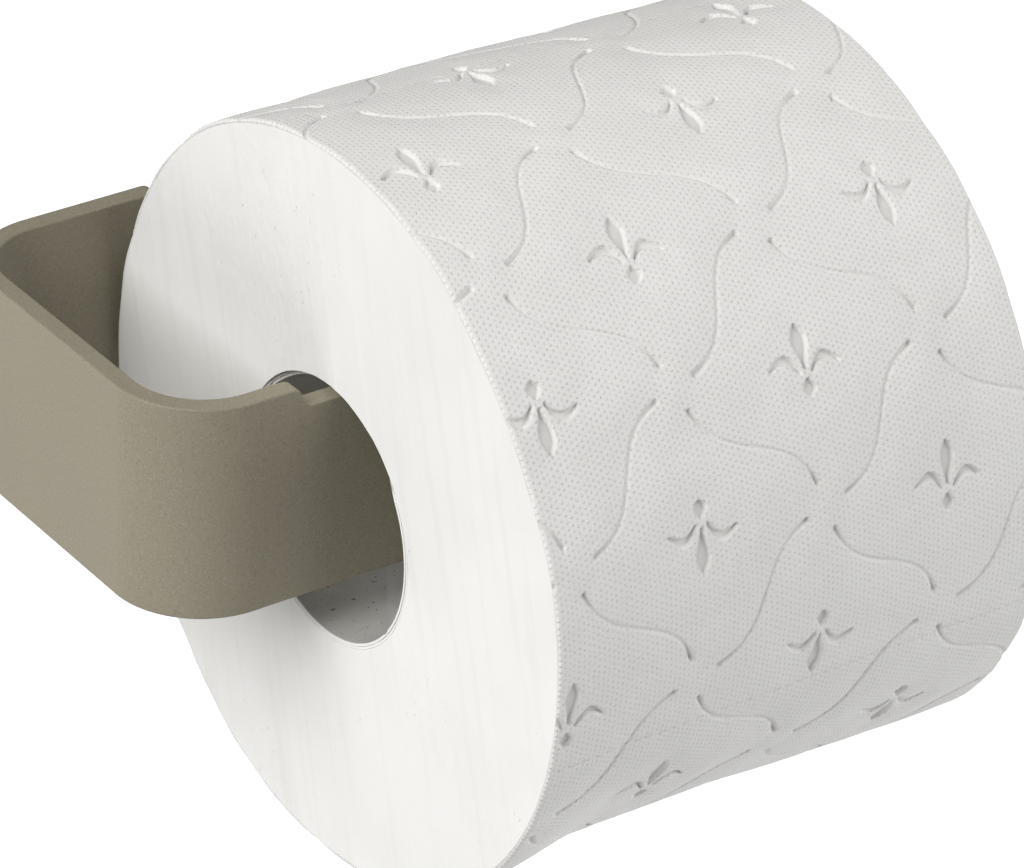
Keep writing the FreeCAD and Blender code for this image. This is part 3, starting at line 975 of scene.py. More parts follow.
@dataclass
class Roll:
    """Sizes that every piece of the roll shares, and its slightly squashed shape."""

    low: Vector
    high: Vector
    radius: float
    start_degrees: float = 75.5
    sheet_length: float = 0.128
    skin: float = 0.0014
    rim: float = 0.00042
    rim_skin: float = 0.00085
    fullness: float = 0.00040
    fullest: float = 0.00042
    near: tuple[Swell, ...] = (
        Swell(350.0, 30.0, 70.0, -0.00125),
        Swell(320.0, 6.0, 26.0, -0.00090),
        Swell(139.0, 8.0, 24.0, -0.00120),
        Swell(245.0, 10.0, 45.0, -0.00025),
    )
    far: tuple[Swell, ...] = (
        Swell(0.0, 50.0, 100.0, -0.00125),
        Swell(323.0, 8.0, 34.0, -0.00060),
        Swell(138.0, 20.0, 62.0, -0.00225),
        Swell(246.0, 10.0, 42.0, -0.00130),
    )
    crest: Swell = Swell(56.0, 6.0, 32.0, 0.00045)
    hollow: Swell = Swell(236.0, 8.0, 52.0, -0.00210)
    centre: tuple[float, float] = field(init=False)

    def __post_init__(self) -> None:
        """Finds the axis."""
        self.centre = ((self.low.y + self.high.y) / 2.0, (self.low.z + self.high.z) / 2.0)

    def inputs(self) -> dict[str, float]:
        """The roll's ends and axis, as the named inputs of a tree."""
        ends = {"Low end": self.low.x, "High end": self.high.x}
        return ends | {"Axis Y": self.centre[0], "Axis Z": self.centre[1]}

    def around(self, along: float, radius: float, turn: float) -> Vector:
        """The place at a distance along the axis, a radius and an angle."""
        y, z = self.centre
        return Vector((along, y + radius * math.cos(turn), z + radius * math.sin(turn)))

    def squash(self, graph: Graph, x: Term, turn: Term) -> Term:
        """How far the soft roll stands outside its round shape.

        Args:
            graph: The tree that asks.
            x: The place along the axis.
            turn: The angle round it, in radians.

        Returns:
            The length, below zero where the roll is squashed.
        """
        degrees = turn * (180.0 / math.pi)
        part = (x - self.low.x) / (self.high.x - self.low.x)
        near, far = (sum(swell.at(graph, degrees) for swell in end) for end in (self.near, self.far))
        fade = part.rising(0.02, 0.20) * (1.0 - part.rising(0.30, 1.0))
        ridge = self.crest.at(graph, degrees) * part.rising(0.0, 0.12) * (1.0 - part.rising(0.35, 1.0))
        whole = near + (far - near) * part + ridge + self.hollow.at(graph, degrees) * fade + self.fullness
        return whole.smallest(self.fullest)

    def skin_at(self, inset: float) -> float:
        """How deep the last turn reaches below the outside, at a distance from an end."""
        part = min(1.0, max(0.0, (inset - 0.0003) / 0.0020))
        return self.rim_skin + (self.skin - self.rim_skin) * part * part * (3.0 - 2.0 * part)


@dataclass
class Embossing:
    """The pressed pattern: a lattice of S-shaped lines round little sprigs, flat before it is rolled."""

    origin: Vector
    column: Vector = field(default_factory=lambda: Vector((0.02353, 0.00182, 0.0)))
    row: Vector = field(default_factory=lambda: Vector((-0.00170, 0.02328, 0.0)))
    bow: float = 0.0027
    gap: float = 0.115

    def spot(self, across: float, along: float) -> Vector:
        """A place of the lattice, in columns and rows."""
        return self.column * across + self.row * along

    def lines(self) -> bpy.types.Object:
        """The S-shaped lines that leave the two knots of one repeat."""
        points, edges = [], []
        for knot in ((1, 0), (2, -1)):
            start = self.spot(*knot)
            for sideways, sign in ((-1, 1.0), (1, 1.0)):
                end = self.spot(knot[0] + sideways, knot[1] + 1)
                ahead = (end - start).normalized()
                aside = Vector((-ahead.y, ahead.x, 0.0)) * (self.bow * sign)
                for step in range(17):
                    part = self.gap + (1.0 - 2.0 * self.gap) * step / 16
                    points.append(start.lerp(end, part) + aside * math.sin(2.0 * math.pi * part))
                    if step:
                        edges.append((len(points) - 2, len(points) - 1))
        return self.helper("emboss_lines", points, edges, [])

    def knots(self) -> bpy.types.Object:
        """The bare places where the lines nearly meet."""
        return self.helper("emboss_knots", [self.spot(1, 0), self.spot(2, -1)], [], [])

    def sprigs(self) -> bpy.types.Object:
        """The two sprigs of one repeat, one each way up."""
        points, faces = [], []
        for place, way in (((0, 0), -1.0), ((1, -1), 1.0)):
            self.sprig(self.spot(*place), way, points, faces)
        return self.helper("emboss_sprigs", points, [], faces)

    def sprig(self, middle: Vector, way: float, points: list, faces: list) -> None:
        """Adds one sprig: a long leaf, a seed below it and a curl on each side.

        Args:
            middle: Its centre.
            way: 1 where the long leaf points along the rows, -1 where it points back.
            points: The vertices to add to.
            faces: The faces to add to.
        """
        up = self.row.normalized() * way
        right = self.column.normalized() * way
        leaves = [
            ((0.0, -0.0015), (0.0, 0.0054), 0.00112, 0.0, 1.5),
            ((0.0, -0.0033), (0.0, -0.0058), 0.00096, 0.0, 1.2),
            ((-0.0012, -0.0021), (-0.0062, -0.0013), 0.00050, -0.0017, 1.2),
            ((0.0012, -0.0021), (0.0064, -0.0009), 0.00050, 0.0018, 1.2),
        ]
        for foot, tip, width, bend, fullness in leaves:
            first = middle + right * foot[0] + up * foot[1]
            last = middle + right * tip[0] + up * tip[1]
            ahead = last - first
            aside = Vector((-ahead.y, ahead.x, 0.0)).normalized()
            base = len(points)
            rims: list[list[Vector]] = [[], []]
            for step in range(9):
                part = step / 8
                line = first + ahead * part + aside * (bend * math.sin(math.pi * part))
                half = width * math.sin(math.pi * part**fullness) + 0.00002
                rims[0].append(line + aside * half)
                rims[1].append(line - aside * half)
            points += rims[0] + rims[1]
            faces += [(base + i, base + i + 1, base + 10 + i, base + 9 + i) for i in range(8)]

    def near_marks(self, low: Sequence[float], high: Sequence[float]) -> KDTree:
        """A search tree of closely set points on every mark in a window of the pattern.

        Args:
            low: The window's lower corner.
            high: Its upper corner.

        Returns:
            The search tree.
        """
        helpers = (self.lines(), self.sprigs())
        marks = [v.co.copy() for helper in helpers for v in helper.data.vertices]
        discard(*helpers)
        basis = np.array([[self.column.x, self.row.x], [self.column.y, self.row.y]])
        middle = (np.array(low) + np.array(high)) / 2.0 - np.array(self.origin.xy)
        near = np.round(np.linalg.solve(basis, middle))
        places = []
        for i in range(-8, 9):
            for j in range(-8, 9):
                if (i + j) % 2 == 0:
                    shift = self.origin + self.spot(near[0] + i + (near[0] + near[1]) % 2, near[1] + j)
                    places += [shift + mark for mark in marks]
        tree = KDTree(len(places))
        for number, place in enumerate(places):
            tree.insert(place, number)
        tree.balance()
        return tree

    def helper(self, name: str, points: list, edges: list, faces: list) -> bpy.types.Object:
        """A helper object that only the tree reads."""
        mesh = bpy.data.meshes.new(name)
        mesh.from_pydata([tuple(p) for p in points], edges, faces)
        thing = bpy.data.objects.new(name, mesh)
        bpy.context.collection.objects.link(thing)
        return thing


@dataclass
class OuterSheets:
    """The last turn of the roll: sheets that are embossed flat, then rolled on."""

    roll: Roll
    pattern: Embossing
    cell: float = 0.00084
    fine: int = 4
    under_cells: int = 4
    reach: float = 0.00118
    line_depth: float = 0.00080
    line_width: float = 0.00062
    sprig_depth: float = 0.00072
    pillow: float = 0.00022
    sheet_gap: float = 0.00007
    repeats: tuple[int, int] = (24, 16)

    def blank(self, name: str, start: float, length: float) -> bpy.types.Object:
        """A flat closed sheet: fine squares at its rims and near the pattern's marks, coarse ones elsewhere.

        Args:
            name: The piece's name.
            start: Where it begins round the roll, as a length on the outside.
            length: How long it is.

        Returns:
            The flat sheet, with its top at height 0 and its flat coordinates as its UV map.
        """
        low, high = self.roll.low.x, self.roll.high.x
        across = self.under_cells * round((high - low) / self.cell / self.under_cells)
        along = self.under_cells * round(length / self.cell / self.under_cells)
        xs = np.linspace(low, high, across * self.fine + 1)
        ys = np.linspace(start, start + length, along * self.fine + 1)
        marked = self.marked_cells(xs, ys, across, along)
        used = np.zeros((len(xs), len(ys)), dtype=bool)
        used[:: self.fine, :: self.fine] = True
        for i, j in np.argwhere(marked):
            used[i * self.fine : (i + 1) * self.fine + 1, j * self.fine : (j + 1) * self.fine + 1] = True
        number = np.full(used.shape, -1)
        number[used] = np.arange(used.sum())
        grid = np.argwhere(used)
        points = [(x, y, 0.0) for x, y in zip(xs[grid[:, 0]].tolist(), ys[grid[:, 1]].tolist())]
        small = np.repeat(np.repeat(marked, self.fine, axis=0), self.fine, axis=1)
        i, j = np.nonzero(small)
        quads = np.stack([number[i, j], number[i + 1, j], number[i + 1, j + 1], number[i, j + 1]], axis=1)
        faces = [tuple(q) for q in quads.tolist()]
        for i, j in np.argwhere(~marked):
            rim = self.rim(i * self.fine, j * self.fine, self.fine)
            faces.append(tuple(int(number[spot]) for spot in rim if number[spot] >= 0))
        below: dict[tuple[int, int], int] = {}

        def under(spot: tuple[int, int]) -> int:
            """The number of the bottom point under a grid point."""
            if spot not in below:
                below[spot] = len(points)
                points.append((float(xs[spot[0]]), float(ys[spot[1]]), -1.0))
            return below[spot]

        width, height = len(xs) - 1, len(ys) - 1
        border = [spot for spot in self.rim(0, 0, width, height) if number[spot] >= 0]
        for here, after in zip(border, border[1:] + border[:1]):
            faces.append((int(number[after]), int(number[here]), under(here), under(after)))
        step = self.fine * self.under_cells
        for i in range(0, width, step):
            for j in range(0, height, step):
                rim = [
                    spot for spot in self.rim(i, j, step)
                    if (spot[0] % step == 0 and spot[1] % step == 0)
                    or (number[spot] >= 0 and (spot[0] in (0, width) or spot[1] in (0, height)))
                ]
                faces.append(tuple(under(spot) for spot in reversed(rim)))
        piece = new_piece(name, points, faces, None)
        self.unwrap(piece, low, start)
        return piece

    def rim(self, i: int, j: int, width: int, height: int = 0) -> list[tuple[int, int]]:
        """The grid points round a block, counter-clockwise from above.

        Args:
            i: The block's first column.
            j: Its first row.
            width: Its columns.
            height: Its rows, or 0 for as many as its columns.

        Returns:
            The grid points.
        """
        height = height or width
        rim = [(x, j) for x in range(i, i + width)] + [(i + width, y) for y in range(j, j + height)]
        rim += [(x, j + height) for x in range(i + width, i, -1)]
        return rim + [(i, y) for y in range(j + height, j, -1)]

    def marked_cells(self, xs: np.ndarray, ys: np.ndarray, across: int, along: int) -> np.ndarray:
        """Which squares of the sheet are fine ones.

        Args:
            xs: The fine columns' places.
            ys: The fine rows' places.
            across: Squares across the sheet.
            along: Squares along it.

        Returns:
            A table of true and false.
        """
        marks = self.pattern.near_marks((xs[0], ys[0]), (xs[-1], ys[-1]))
        marked = np.zeros((across, along), dtype=bool)
        marked[[0, -1], :] = True
        marked[:, [0, -1]] = True
        half = self.fine // 2
        for i in range(across):
            for j in range(along):
                middle = Vector((xs[i * self.fine + half], ys[j * self.fine + half], 0.0))
                marked[i, j] |= marks.find(middle)[2] < self.reach
        return marked

    def unwrap(self, piece: bpy.types.Object, low: float, start: float) -> None:
        """Writes the flat coordinates; the underside goes beside the top."""
        mesh = piece.data
        layer = mesh.uv_layers.new(name="UVMap")
        co = np.empty(len(mesh.vertices) * 3)
        mesh.vertices.foreach_get("co", co)
        corner = np.empty(len(mesh.loops), dtype=np.int32)
        mesh.loops.foreach_get("vertex_index", corner)
        place = co.reshape(-1, 3)[corner]
        scale = Tissue.uv_scale
        uv = np.stack([(place[:, 0] - low) / scale, (place[:, 1] - start) / scale], axis=1)
        under = place[:, 2] < -0.5
        uv[under] = uv[under] * (0.45, 1.0) + (0.68, 0.0)
        layer.data.foreach_set("uv", uv.ravel())

    def presser(self) -> Sculptor:
        """The tree that presses the pattern into a flat sheet, rounds its rims and rolls it on.

        Returns:
            The tree.
        """
        tree = Sculptor("embossed sheet")
        low, high, axis_y, axis_z = tree.numbers("Low end", "High end", "Axis Y", "Axis Z")
        start, length, radius = tree.numbers("Sheet start", "Sheet length", "Roll radius")
        line_depth, line_width, sprig_depth = tree.numbers("Line depth", "Line width", "Sprig depth")
        pillow, rim, skin, rim_skin = tree.numbers("Pillow", "Rim radius", "Skin", "Rim skin")
        first, step_a, step_b = tree.vectors("First repeat", "Step along", "Step across")
        position = tree.node("GeometryNodeInputPosition").outputs[0]
        x, s, height = tree.split(position)
        lattice = self.lattice(tree, first, step_a, step_b)
        level = tree.join(x, s, 0.0)
        to_line = self.distance(tree, lattice, tree.thing("Lines"), "EDGES", level)
        to_knot = self.distance(tree, lattice, tree.thing("Knots"), "POINTS", level)
        to_sprig = self.distance(tree, lattice, tree.thing("Sprigs"), "FACES", level)
        drift = tree.noise(level, 70.0, 2.0)
        tip = 1.0 - to_knot.rising(0.0030, 0.0088)
        wide = line_width * (0.80 + 0.30 * tip)
        groove = (1.0 - (to_line / wide).rising(0.25, 1.0)) * (0.34 + 0.66 * tip) * (0.65 + drift * 0.7)
        leaf = 1.0 - to_sprig.rising(0.0, 0.00040)
        swell = 1.0 - to_line.smallest(to_sprig).rising(0.0, 0.0050)
        lumps = tree.noise(tree.join(x * 1.6, s, 0.0), 150.0, 2.0)
        uneven = drift * 0.00012 + lumps * 0.00016
        press = (groove * line_depth).largest(leaf * sprig_depth) + swell * pillow + uneven
        to_tear = (s - start).smallest(start + length - s).largest(0.0)
        dashes = (x * (2.0 * math.pi / 0.0024)).sine()
        pinch = (1.0 - to_tear.rising(0.0, 0.0009)) * (0.00002 + 0.00007 * dashes.rising(-0.2, 0.5))
        top = height.above(-0.5)
        to_end = (x - low).smallest(high - x).largest(0.0)
        bend = 1.0 - to_end.smallest(rim) / rim
        drop = rim * (1.0 - (1.0 - bend * bend).largest(0.0).root())
        threads = tree.noise(level, 1500.0, 2.0).rising(0.3, 0.7)
        frayed = threads * 0.00005 * (1.0 - to_end.rising(0.0, 0.0012))
        depth = rim_skin + (skin - rim_skin) * to_end.rising(0.0003, 0.0023)
        sink = (drop + press + pinch + frayed).smallest(depth - 0.00012)
        turn = s / radius
        reach = radius + self.roll.squash(tree, x, turn) - top * sink - (1.0 - top) * depth
        tab = dashes.above(0.55) * (1.0 - to_tear.rising(0.0, 0.0002)) * 0.00003
        side = (s - (start + length * 0.5)).above(0.0) * 2.0 - 1.0
        turn = (s + tab * side) / radius
        place = tree.join(x, axis_y + reach * turn.cosine(), axis_z + reach * turn.sine())
        # The stored pressed share also paints the tissue darker in the grooves and leaves, as painted shade.
        keep = {"data_type": "FLOAT", "domain": "POINT"}
        feeds = {0: tree.entry.outputs[0], "Name": "pressed", "Value": groove.largest(leaf) * top}
        marked = tree.node("GeometryNodeStoreNamedAttribute", keep, feeds).outputs[0]
        tree.end(tree.moved(marked, place))
        return tree

    def lattice(self, tree: Sculptor, first: object, along: object, across: object) -> bpy.types.NodeSocket:
        """Points at every repeat of the pattern.

        Args:
            tree: The tree.
            first: The first repeat's place.
            along: The step between repeats one way.
            across: The step the other way.

        Returns:
            The points.
        """
        steps = {0: self.repeats[0], 2: first, 3: along}
        spine = tree.node("GeometryNodeMeshLine", {"mode": "OFFSET"}, steps).outputs[0]
        steps = {0: self.repeats[1], 3: across}
        rib = tree.node("GeometryNodeMeshLine", {"mode": "OFFSET"}, steps).outputs[0]
        return self.copies(tree, spine, rib)

    def copies(self, tree: Sculptor, places: object, thing: object) -> bpy.types.NodeSocket:
        """A copy of a thing at every place, as one mesh."""
        feeds = {"Points": places, "Instance": thing}
        stood = tree.node("GeometryNodeInstanceOnPoints", None, feeds).outputs[0]
        return tree.node("GeometryNodeRealizeInstances", None, {0: stood}).outputs[0]

    def distance(self, tree: Sculptor, lattice: object, thing: object, target: str, level: object) -> Term:
        """How far each point of the sheet is from the repeated thing.

        Args:
            tree: The tree.
            lattice: The repeats' places.
            thing: What stands at each.
            target: Whether points, edges or faces count.
            level: The sheet's points, level with the pattern.

        Returns:
            The distance.
        """
        whole = self.copies(tree, lattice, thing)
        node = tree.node("GeometryNodeProximity", {"target_element": target}, {0: whole, 2: level})
        return Term(tree, node.outputs["Distance"])

    def build(self, finish: bpy.types.Material) -> list[bpy.types.Object]:
        """Makes the three sheets.

        Args:
            finish: Their material.

        Returns:
            The sheets, in order round the roll.
        """
        tree = self.presser()
        helpers = (self.pattern.lines(), self.pattern.knots(), self.pattern.sprigs())
        turn = 2.0 * math.pi * self.roll.radius
        first = math.radians(self.roll.start_degrees) * self.roll.radius
        starts = [first, first + self.roll.sheet_length, first + 2.0 * self.roll.sheet_length - turn]
        lengths = [self.roll.sheet_length - self.sheet_gap] * 2 + [first - starts[2] - self.sheet_gap]
        along = self.pattern.spot(1, 1)
        across = self.pattern.spot(2, -2)
        sheets = []
        for number, (start, length) in enumerate(zip(starts, lengths), start=1):
            piece = self.blank(f"tissue_sheet_{number}", start, length)
            middle = Vector(((self.roll.low.x + self.roll.high.x) / 2.0, start + length / 2.0, 0.0))
            corner = self.first_repeat(middle, along, across)
            tree.apply(
                piece,
                self.roll.inputs()
                | {
                    "Sheet start": start, "Sheet length": length, "Roll radius": self.roll.radius,
                    "Line depth": self.line_depth, "Line width": self.line_width,
                    "Sprig depth": self.sprig_depth, "Pillow": self.pillow, "Rim radius": self.roll.rim,
                    "Skin": self.roll.skin, "Rim skin": self.roll.rim_skin,
                    "First repeat": corner, "Step along": along, "Step across": across,
                    "Lines": helpers[0], "Knots": helpers[1], "Sprigs": helpers[2], "Finish": finish,
                },
            )
            crease(piece, 50.0)
            sheets.append(piece)
        discard(*helpers)
        return sheets

    def first_repeat(self, middle: Vector, along: Vector, across: Vector) -> Vector:
        """The corner repeat of the patch of repeats that is centred on a sheet, in step with the pattern.

        Args:
            middle: The sheet's centre.
            along: One step of the lattice.
            across: The other.

        Returns:
            The corner's place.
        """
        basis = np.array([[along.x, across.x], [along.y, across.y]])
        offset = middle - self.pattern.origin
        steps = np.round(np.linalg.solve(basis, np.array([offset.x, offset.y])))
        corner = steps - np.array(self.repeats) / 2
        return self.pattern.origin + along * corner[0] + across * corner[1]


@dataclass
class Winding:
    """The wound tissue under the last turn, with sawn ends."""

    roll: Roll
    bore: float
    slack: float = 0.00004
    mark_depth: float = 0.00014
    rings: int = 46
    lengths: int = 24
    sides: int = 720

    def profile(self) -> Loop:
        """Its section: the near end, the outside, the far end and the bore."""
        low, high = self.roll.low.x, self.roll.high.x
        edge = [0.0, 0.0003, 0.0008, 0.0013, 0.0018, 0.0023]
        outside = [(inset, self.roll.radius - self.roll.skin_at(inset) - self.slack) for inset in edge]
        top = outside[0][1]
        near = [(low, self.bore + (top - self.bore) * step / self.rings) for step in range(self.rings)]
        near += [(low + inset, radius) for inset, radius in outside]
        far = [(high - (x - low), radius) for x, radius in reversed(near)]
        length = far[0][0] - near[-1][0]
        steps = range(1, self.lengths)
        middle = [(near[-1][0] + length * step / self.lengths, near[-1][1]) for step in steps]
        return near + middle + far

    def sawing(self) -> Sculptor:
        """The tree that squashes the winding with the roll and saws long shallow marks across its ends."""
        tree = Sculptor("sawn ends")
        low, high, depth, lean = tree.numbers("Low end", "High end", "Mark depth", "Lean")
        bore, outside = tree.numbers("Bore", "Outside")
        point = Polar(tree)
        x, y, z = point.x, point.y, point.z
        share = ((point.radius - bore) / (outside - bore)).largest(0.0)
        grow = 1.0 + self.roll.squash(tree, x, point.turn) * share * share / point.radius
        on_near = 1.0 - (x - low).rising(0.0, 0.0003)
        on_far = 1.0 - (high - x).rising(0.0, 0.0003)
        aside = y * lean.cosine() - z * lean.sine()
        ahead = y * lean.sine() + z * lean.cosine()
        marks = tree.noise(tree.join(x * 0.2, aside, ahead * 0.045), 260.0, 3.0)
        lumps = tree.noise(point.position, 55.0, 2.0)
        away_from_edge = 1.0 - share.rising(0.93, 1.0)
        cut = (marks.rising(0.42, 0.72) * 0.75 + lumps * 0.7) * depth * away_from_edge
        place = point.scaled(x + cut * (on_near - on_far), grow)
        tree.end(tree.moved(tree.entry.outputs[0], place))
        return tree

    def build(self, finish: bpy.types.Material) -> bpy.types.Object:
        """Makes the winding.

        Args:
            finish: Its material.

        Returns:
            The winding in its place.
        """
        points, faces = lathe(self.profile(), self.sides, closed=True)
        place = Matrix.Translation((0.0, *self.roll.centre))
        piece = new_piece("winding", [place @ p for p in points], faces, None)
        outward(piece)
        values = self.roll.inputs() | {
            "Mark depth": self.mark_depth, "Lean": SAW_LEAN,
            "Bore": self.bore, "Outside": self.roll.radius - self.roll.rim_skin, "Finish": finish,
        }
        self.sawing().apply(piece, values)
        crease(piece, 60.0)
        return piece


@dataclass
class CorePly:
    """One ply of the core: a board tube with a spiral butt joint, worn back at the near end's crown."""

    name: str
    low: Vector
    high: Vector
    ply: float = 0.00045
    lip_share: float = 0.16
    seam_pitch: float = 0.084
    seam_phase: float = 0.0
    seam_depth: float = 0.00016
    recess: float = 0.0
    tear: float = 0.0016
    sides: int = 256
    lengths: int = 120

    def build(self, roll: Roll, finish: bpy.types.Material) -> bpy.types.Object:
        """Makes the ply.

        Args:
            roll: The roll that it is in.
            finish: Its material.

        Returns:
            The ply in its place.
        """
        outer = (self.high.z - self.low.z) / 2.0
        inner = outer - self.ply
        lip = self.ply * self.lip_share
        low, high = self.low.x + self.recess, self.high.x - self.recess
        length = high - low - 2.0 * lip
        steps = range(self.lengths + 1)
        inside = [(low + lip + length * step / self.lengths, inner) for step in steps]
        corner = quarter(lip, 3)
        section = [(high - inset, inner + depth) for inset, depth in reversed(corner)][1:]
        section += [(high - inset, outer - depth) for inset, depth in corner]
        section += [(low + inset, outer - depth) for inset, depth in reversed(corner)]
        section += [(low + inset, inner + depth) for inset, depth in corner][:-1]
        points, faces = lathe(inside + section, self.sides, closed=True)
        place = Matrix.Translation((0.0, *roll.centre))
        piece = new_piece(self.name, [place @ p for p in points], faces, None)
        outward(piece)
        values = roll.inputs() | {
            "Low end": self.low.x, "Crown": roll.centre[1] + inner, "Tear": self.tear,
            "Middle radius": inner + self.ply / 2.0, "Pitch": self.seam_pitch,
            "Phase": self.seam_phase, "Seam depth": self.seam_depth, "Finish": finish,
        }
        values.pop("High end")
        self.seamer().apply(piece, values)
        crease(piece, 55.0)
        return piece

    def seamer(self) -> Sculptor:
        """The tree that presses the spiral joint into the ply and makes its wall a little uneven."""
        tree = Sculptor("spiral joint")
        low, crown, tear, middle = tree.numbers("Low end", "Crown", "Tear", "Middle radius")
        pitch, phase, depth = tree.numbers("Pitch", "Phase", "Seam depth")
        point = Polar(tree)
        x, y, z = point.x, point.y, point.z
        turns = x / pitch - point.turn / (2.0 * math.pi) + phase
        off_seam = (turns - tree.math("ROUND", turns)).absolute() * pitch
        seam = 1.0 - off_seam.rising(0.00018, 0.00055)
        inside = 1.0 - point.radius.above(middle)
        uneven = (tree.noise(point.position, 90.0, 2.0) - 0.5) * 0.00016
        grow = (point.radius + inside * seam * depth + inside * uneven) / point.radius
        torn = (1.0 - (x - low).rising(0.0, 0.0040)) * (z - crown).rising(-0.0110, -0.0012)
        ragged = 0.75 + 0.5 * tree.noise(tree.join(0.0, y, z), 900.0, 2.0)
        tree.end(tree.moved(tree.entry.outputs[0], point.scaled(x + torn * tear * ragged, grow)))
        return tree


@dataclass
class Lint:
    """Loose and torn fibres on the near end of the roll, thickest round the core's mouth."""

    roll: Roll
    mouth: float
    seed: int = 7
    density: float = 60000.0
    thick_zone: float = 0.0014

    def fibre(self) -> bpy.types.Object:
        """One bent, tapered fibre a millimetre long, standing on its root."""
        points, faces = [], []
        for step in range(6):
            part = step / 5
            width = 0.000045 * (1.0 - 0.8 * part)
            middle = Vector((0.00030 * math.sin(part * 2.0), 0.0, 0.00045 * part + 0.0001 * part**2))
            for side in range(4):
                turn = math.pi / 2.0 * side
                points.append(middle + Vector((math.cos(turn), math.sin(turn), 0.0)) * width)
        for step in range(5):
            base = 4 * step
            for i in range(4):
                after = (i + 1) % 4
                faces.append((base + i, base + after, base + 4 + after, base + 4 + i))
        faces += [(3, 2, 1, 0), (20, 21, 22, 23)]
        return new_piece("fibre", points, faces, None)

    def ground(self) -> bpy.types.Object:
        """The annulus of the end face that the fibres stand on, facing out."""
        points, faces = [], []
        sides, root = 96, self.roll.low.x + 0.00005
        for radius in (self.mouth, self.mouth + 0.0012, self.roll.radius - 0.002):
            turns = (2.0 * math.pi * step / sides for step in range(sides))
            points += [self.roll.around(root, radius, turn) for turn in turns]
        for ring in range(2):
            for step in range(sides):
                after = (step + 1) % sides
                here = ring * sides
                faces.append((here + step, here + after, here + sides + after, here + sides + step))
        return new_piece("lint", points, faces, None)

    def scatter(self) -> Sculptor:
        """The tree that stands fibres on the annulus, turned and sized at random from a fixed seed."""
        tree = Sculptor("scattered fibres")
        mouth, reach, density, seed = tree.numbers("Mouth radius", "Thick zone", "Density", "Seed")
        point = Polar(tree)
        near_mouth = 1.0 - (point.radius - mouth).rising(0.0, reach)
        patches = tree.noise(point.position, 90.0, 2.0).rising(0.50, 0.70)
        factor = near_mouth * (0.25 + 0.75 * patches) + 0.006 * patches
        strewn = {"Mesh": tree.entry.outputs[0], "Density": density * factor, "Seed": seed}
        spread = tree.node("GeometryNodeDistributePointsOnFaces", None, strewn)
        leaning = {0: (-0.9, -0.9, 0.0), 1: (0.9, 0.9, 6.283), "Seed": 11}
        spin = tree.node("FunctionNodeRandomValue", {"data_type": "FLOAT_VECTOR"}, leaning).outputs[0]
        sizes = {2: 0.5, 3: 1.7, "Seed": 23}
        size = tree.node("FunctionNodeRandomValue", {"data_type": "FLOAT"}, sizes).outputs[1]
        lean = tree.node("FunctionNodeEulerToRotation", None, {0: spin}).outputs[0]
        both = {0: spread.outputs["Rotation"], 1: lean}
        turned = tree.node("FunctionNodeRotateRotation", {"rotation_space": "LOCAL"}, both).outputs[0]
        stood = {"Points": spread.outputs["Points"], "Instance": tree.thing("Fibre"),
                 "Rotation": turned, "Scale": size}
        copies = tree.node("GeometryNodeInstanceOnPoints", None, stood).outputs[0]
        tree.end(copies, realise=True)
        return tree

    def build(self, finish: bpy.types.Material) -> bpy.types.Object:
        """Makes the fibres.

        Args:
            finish: Their material.

        Returns:
            One piece with every fibre.
        """
        piece, fibre = self.ground(), self.fibre()
        values = {
            "Axis Y": self.roll.centre[0], "Axis Z": self.roll.centre[1],
            "Mouth radius": self.mouth, "Thick zone": self.thick_zone, "Density": self.density,
            "Seed": float(self.seed), "Fibre": fibre, "Finish": finish,
        }
        self.scatter().apply(piece, values)
        discard(fibre)
        return piece


# --------------------------------------------------------------------------- the studio


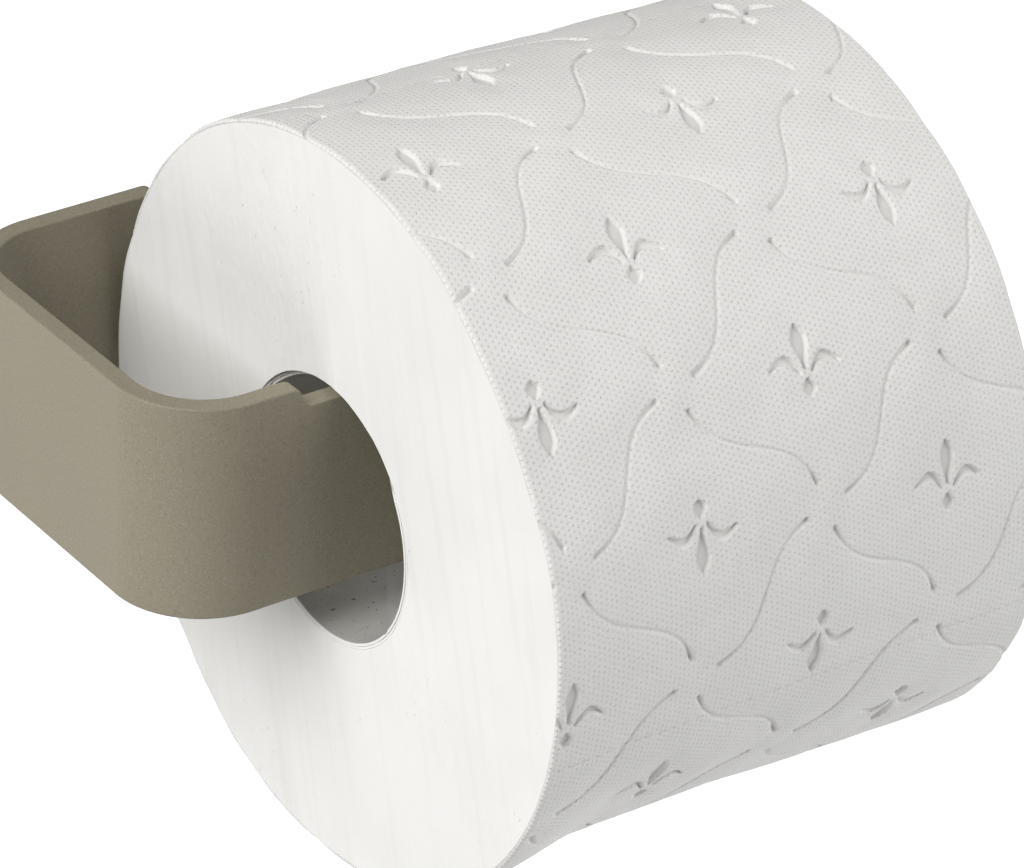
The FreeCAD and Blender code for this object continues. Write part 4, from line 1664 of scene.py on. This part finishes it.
@dataclass
class Studio:
    """The floor, the lights and the camera."""

    eye: Vector = field(default_factory=lambda: Vector((-0.47631, -0.69851, 0.46182)))
    azimuth: float = 36.729
    elevation: float = 30.156
    roll: float = 2.568
    lens: float = 203.28926
    shift: tuple[float, float] = (-0.04564453, -0.04924805)
    target: Vector = field(default_factory=lambda: Vector((-0.01, -0.06, 0.0)))
    floor_half: float = 8.0
    floor_level: float = -0.95
    daylight: float = 0.22

    def camera(self) -> None:
        """Places the camera that looks down along the roll's near end."""
        az, el, ro = (math.radians(v) for v in (self.azimuth, self.elevation, self.roll))
        ahead = Vector((math.sin(az) * math.cos(el), math.cos(az) * math.cos(el), -math.sin(el)))
        level = Vector((math.cos(az), -math.sin(az), 0.0))
        upright = level.cross(ahead)
        right = level * math.cos(ro) + upright * math.sin(ro)
        above = upright * math.cos(ro) - level * math.sin(ro)
        data = bpy.data.cameras.new("camera")
        data.sensor_width = 36.0
        data.lens = self.lens
        data.shift_x, data.shift_y = self.shift
        data.clip_start, data.clip_end = 0.01, 50.0
        camera = bpy.data.objects.new("camera", data)
        turn = Matrix((right, above, -ahead)).transposed().to_4x4()
        camera.matrix_world = Matrix.Translation(self.eye) @ turn
        bpy.context.collection.objects.link(camera)
        bpy.context.scene.camera = camera

    def lamp(
        self, name: str, place: Sequence[float], size: float, watts: float, colour: Sequence[float]
    ) -> None:
        """Hangs a soft square lamp that faces the holder.

        Args:
            name: The lamp's name.
            place: Where it hangs.
            size: Its side.
            watts: Its power.
            colour: Its colour.
        """
        data = bpy.data.lights.new(name, "AREA")
        data.shape, data.size, data.energy, data.color = "SQUARE", size, watts, tuple(colour)
        lamp = bpy.data.objects.new(name, data)
        lamp.location = Vector(place)
        lamp.rotation_euler = (self.target - lamp.location).to_track_quat("-Z", "Y").to_euler()
        bpy.context.collection.objects.link(lamp)

    def build(self) -> None:
        """Makes the floor, the daylight, the lamps and the camera."""
        half = self.floor_half
        square = ((-half, -half), (half, -half), (half, half), (-half, half))
        corners = [(x, y, self.floor_level) for x, y in square]
        floor = new_piece("floor", corners, [(0, 1, 2, 3)], PaleFloor().make())
        world = bpy.data.worlds.new("daylight")
        world.use_nodes = True
        sky = world.node_tree.nodes["Background"]
        sky.inputs[0].default_value = (1.0, 1.0, 1.0, 1.0)
        sky.inputs[1].default_value = self.daylight
        bpy.context.scene.world = world
        self.lamp("high_left", (-1.35, -0.20, 1.10), 1.4, 29.5, (1.0, 0.995, 0.985))
        self.lamp("low_left", (-0.90, -0.45, -0.50), 0.6, 1.7, (1.0, 1.0, 0.99))
        self.lamp("front_right", (1.10, -0.92, 0.42), 0.9, 10.0, (1.0, 1.0, 1.0))
        self.lamp("low_front", (0.45, -0.62, -0.72), 0.6, 1.1, (1.0, 1.0, 0.99))
        bpy.context.scene.view_settings.view_transform = "Standard"
        self.camera()


def main() -> None:
    """Builds every piece in order and reports it."""
    logging.basicConfig(level=logging.INFO, format="%(message)s")
    coat, zinc, nylon = PowderCoat().make(), ZincPlate().make(), MouldedNylon().make()
    tissue, cut = Tissue().make(), CutTissue().make()

    screws = {label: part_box(f"wall_screw_{label}") for label in ("left", "right")}
    holes = [Vector(((low.x + high.x) / 2.0, 0.0, (low.z + high.z) / 2.0)) for low, high in screws.values()]
    strip = Strip(*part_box("holder_strip")).build(coat, holes)
    dress(strip, "holder", "powder_coat", "holder_strip")
    for label, corners in screws.items():
        screw = WoodScrew(*corners).build(label, zinc)
        dress(screw, "holder", "zinc_screw", f"wall_screw_{label}")
        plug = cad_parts[f"wall_plug_{label}"]
        for slot in plug.material_slots:
            slot.material = nylon

    low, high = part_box("paper_winding")
    roll = Roll(low, high, radius=0.0623)
    side_gap = 0.00003
    board = GreyBoard(ends=(low.x, high.x), crown=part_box("core_inner_ply")[1].z).make()
    core_low, core_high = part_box("core_outer_ply")
    core_radius = (core_high.z - core_low.z) / 2.0
    winding = Winding(roll, bore=core_radius + side_gap).build(cut)
    dress(winding, "paper", "tissue", "paper_winding")
    pattern = Embossing(origin=Vector((low.x + 0.00920, math.radians(98.07) * roll.radius, 0.0)))
    for number, sheet in enumerate(OuterSheets(roll, pattern).build(tissue), start=1):
        dress(sheet, "paper", "tissue", f"outer_sheet_{number}")
    lint = Lint(roll, mouth=core_radius + side_gap).build(cut)
    dress(lint, "paper", "tissue")

    inner = CorePly("core_ply_inner", *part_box("core_inner_ply"), seam_phase=0.18)
    dress(inner.build(roll, board), "core", "core_card", "core_inner_ply")
    outer = CorePly("core_ply_outer", core_low, core_high, seam_phase=0.62, recess=0.00006)
    dress(outer.build(roll, board), "core", "core_card", "core_outer_ply")

    Studio().build()


if __name__ == "__main__":
    main()
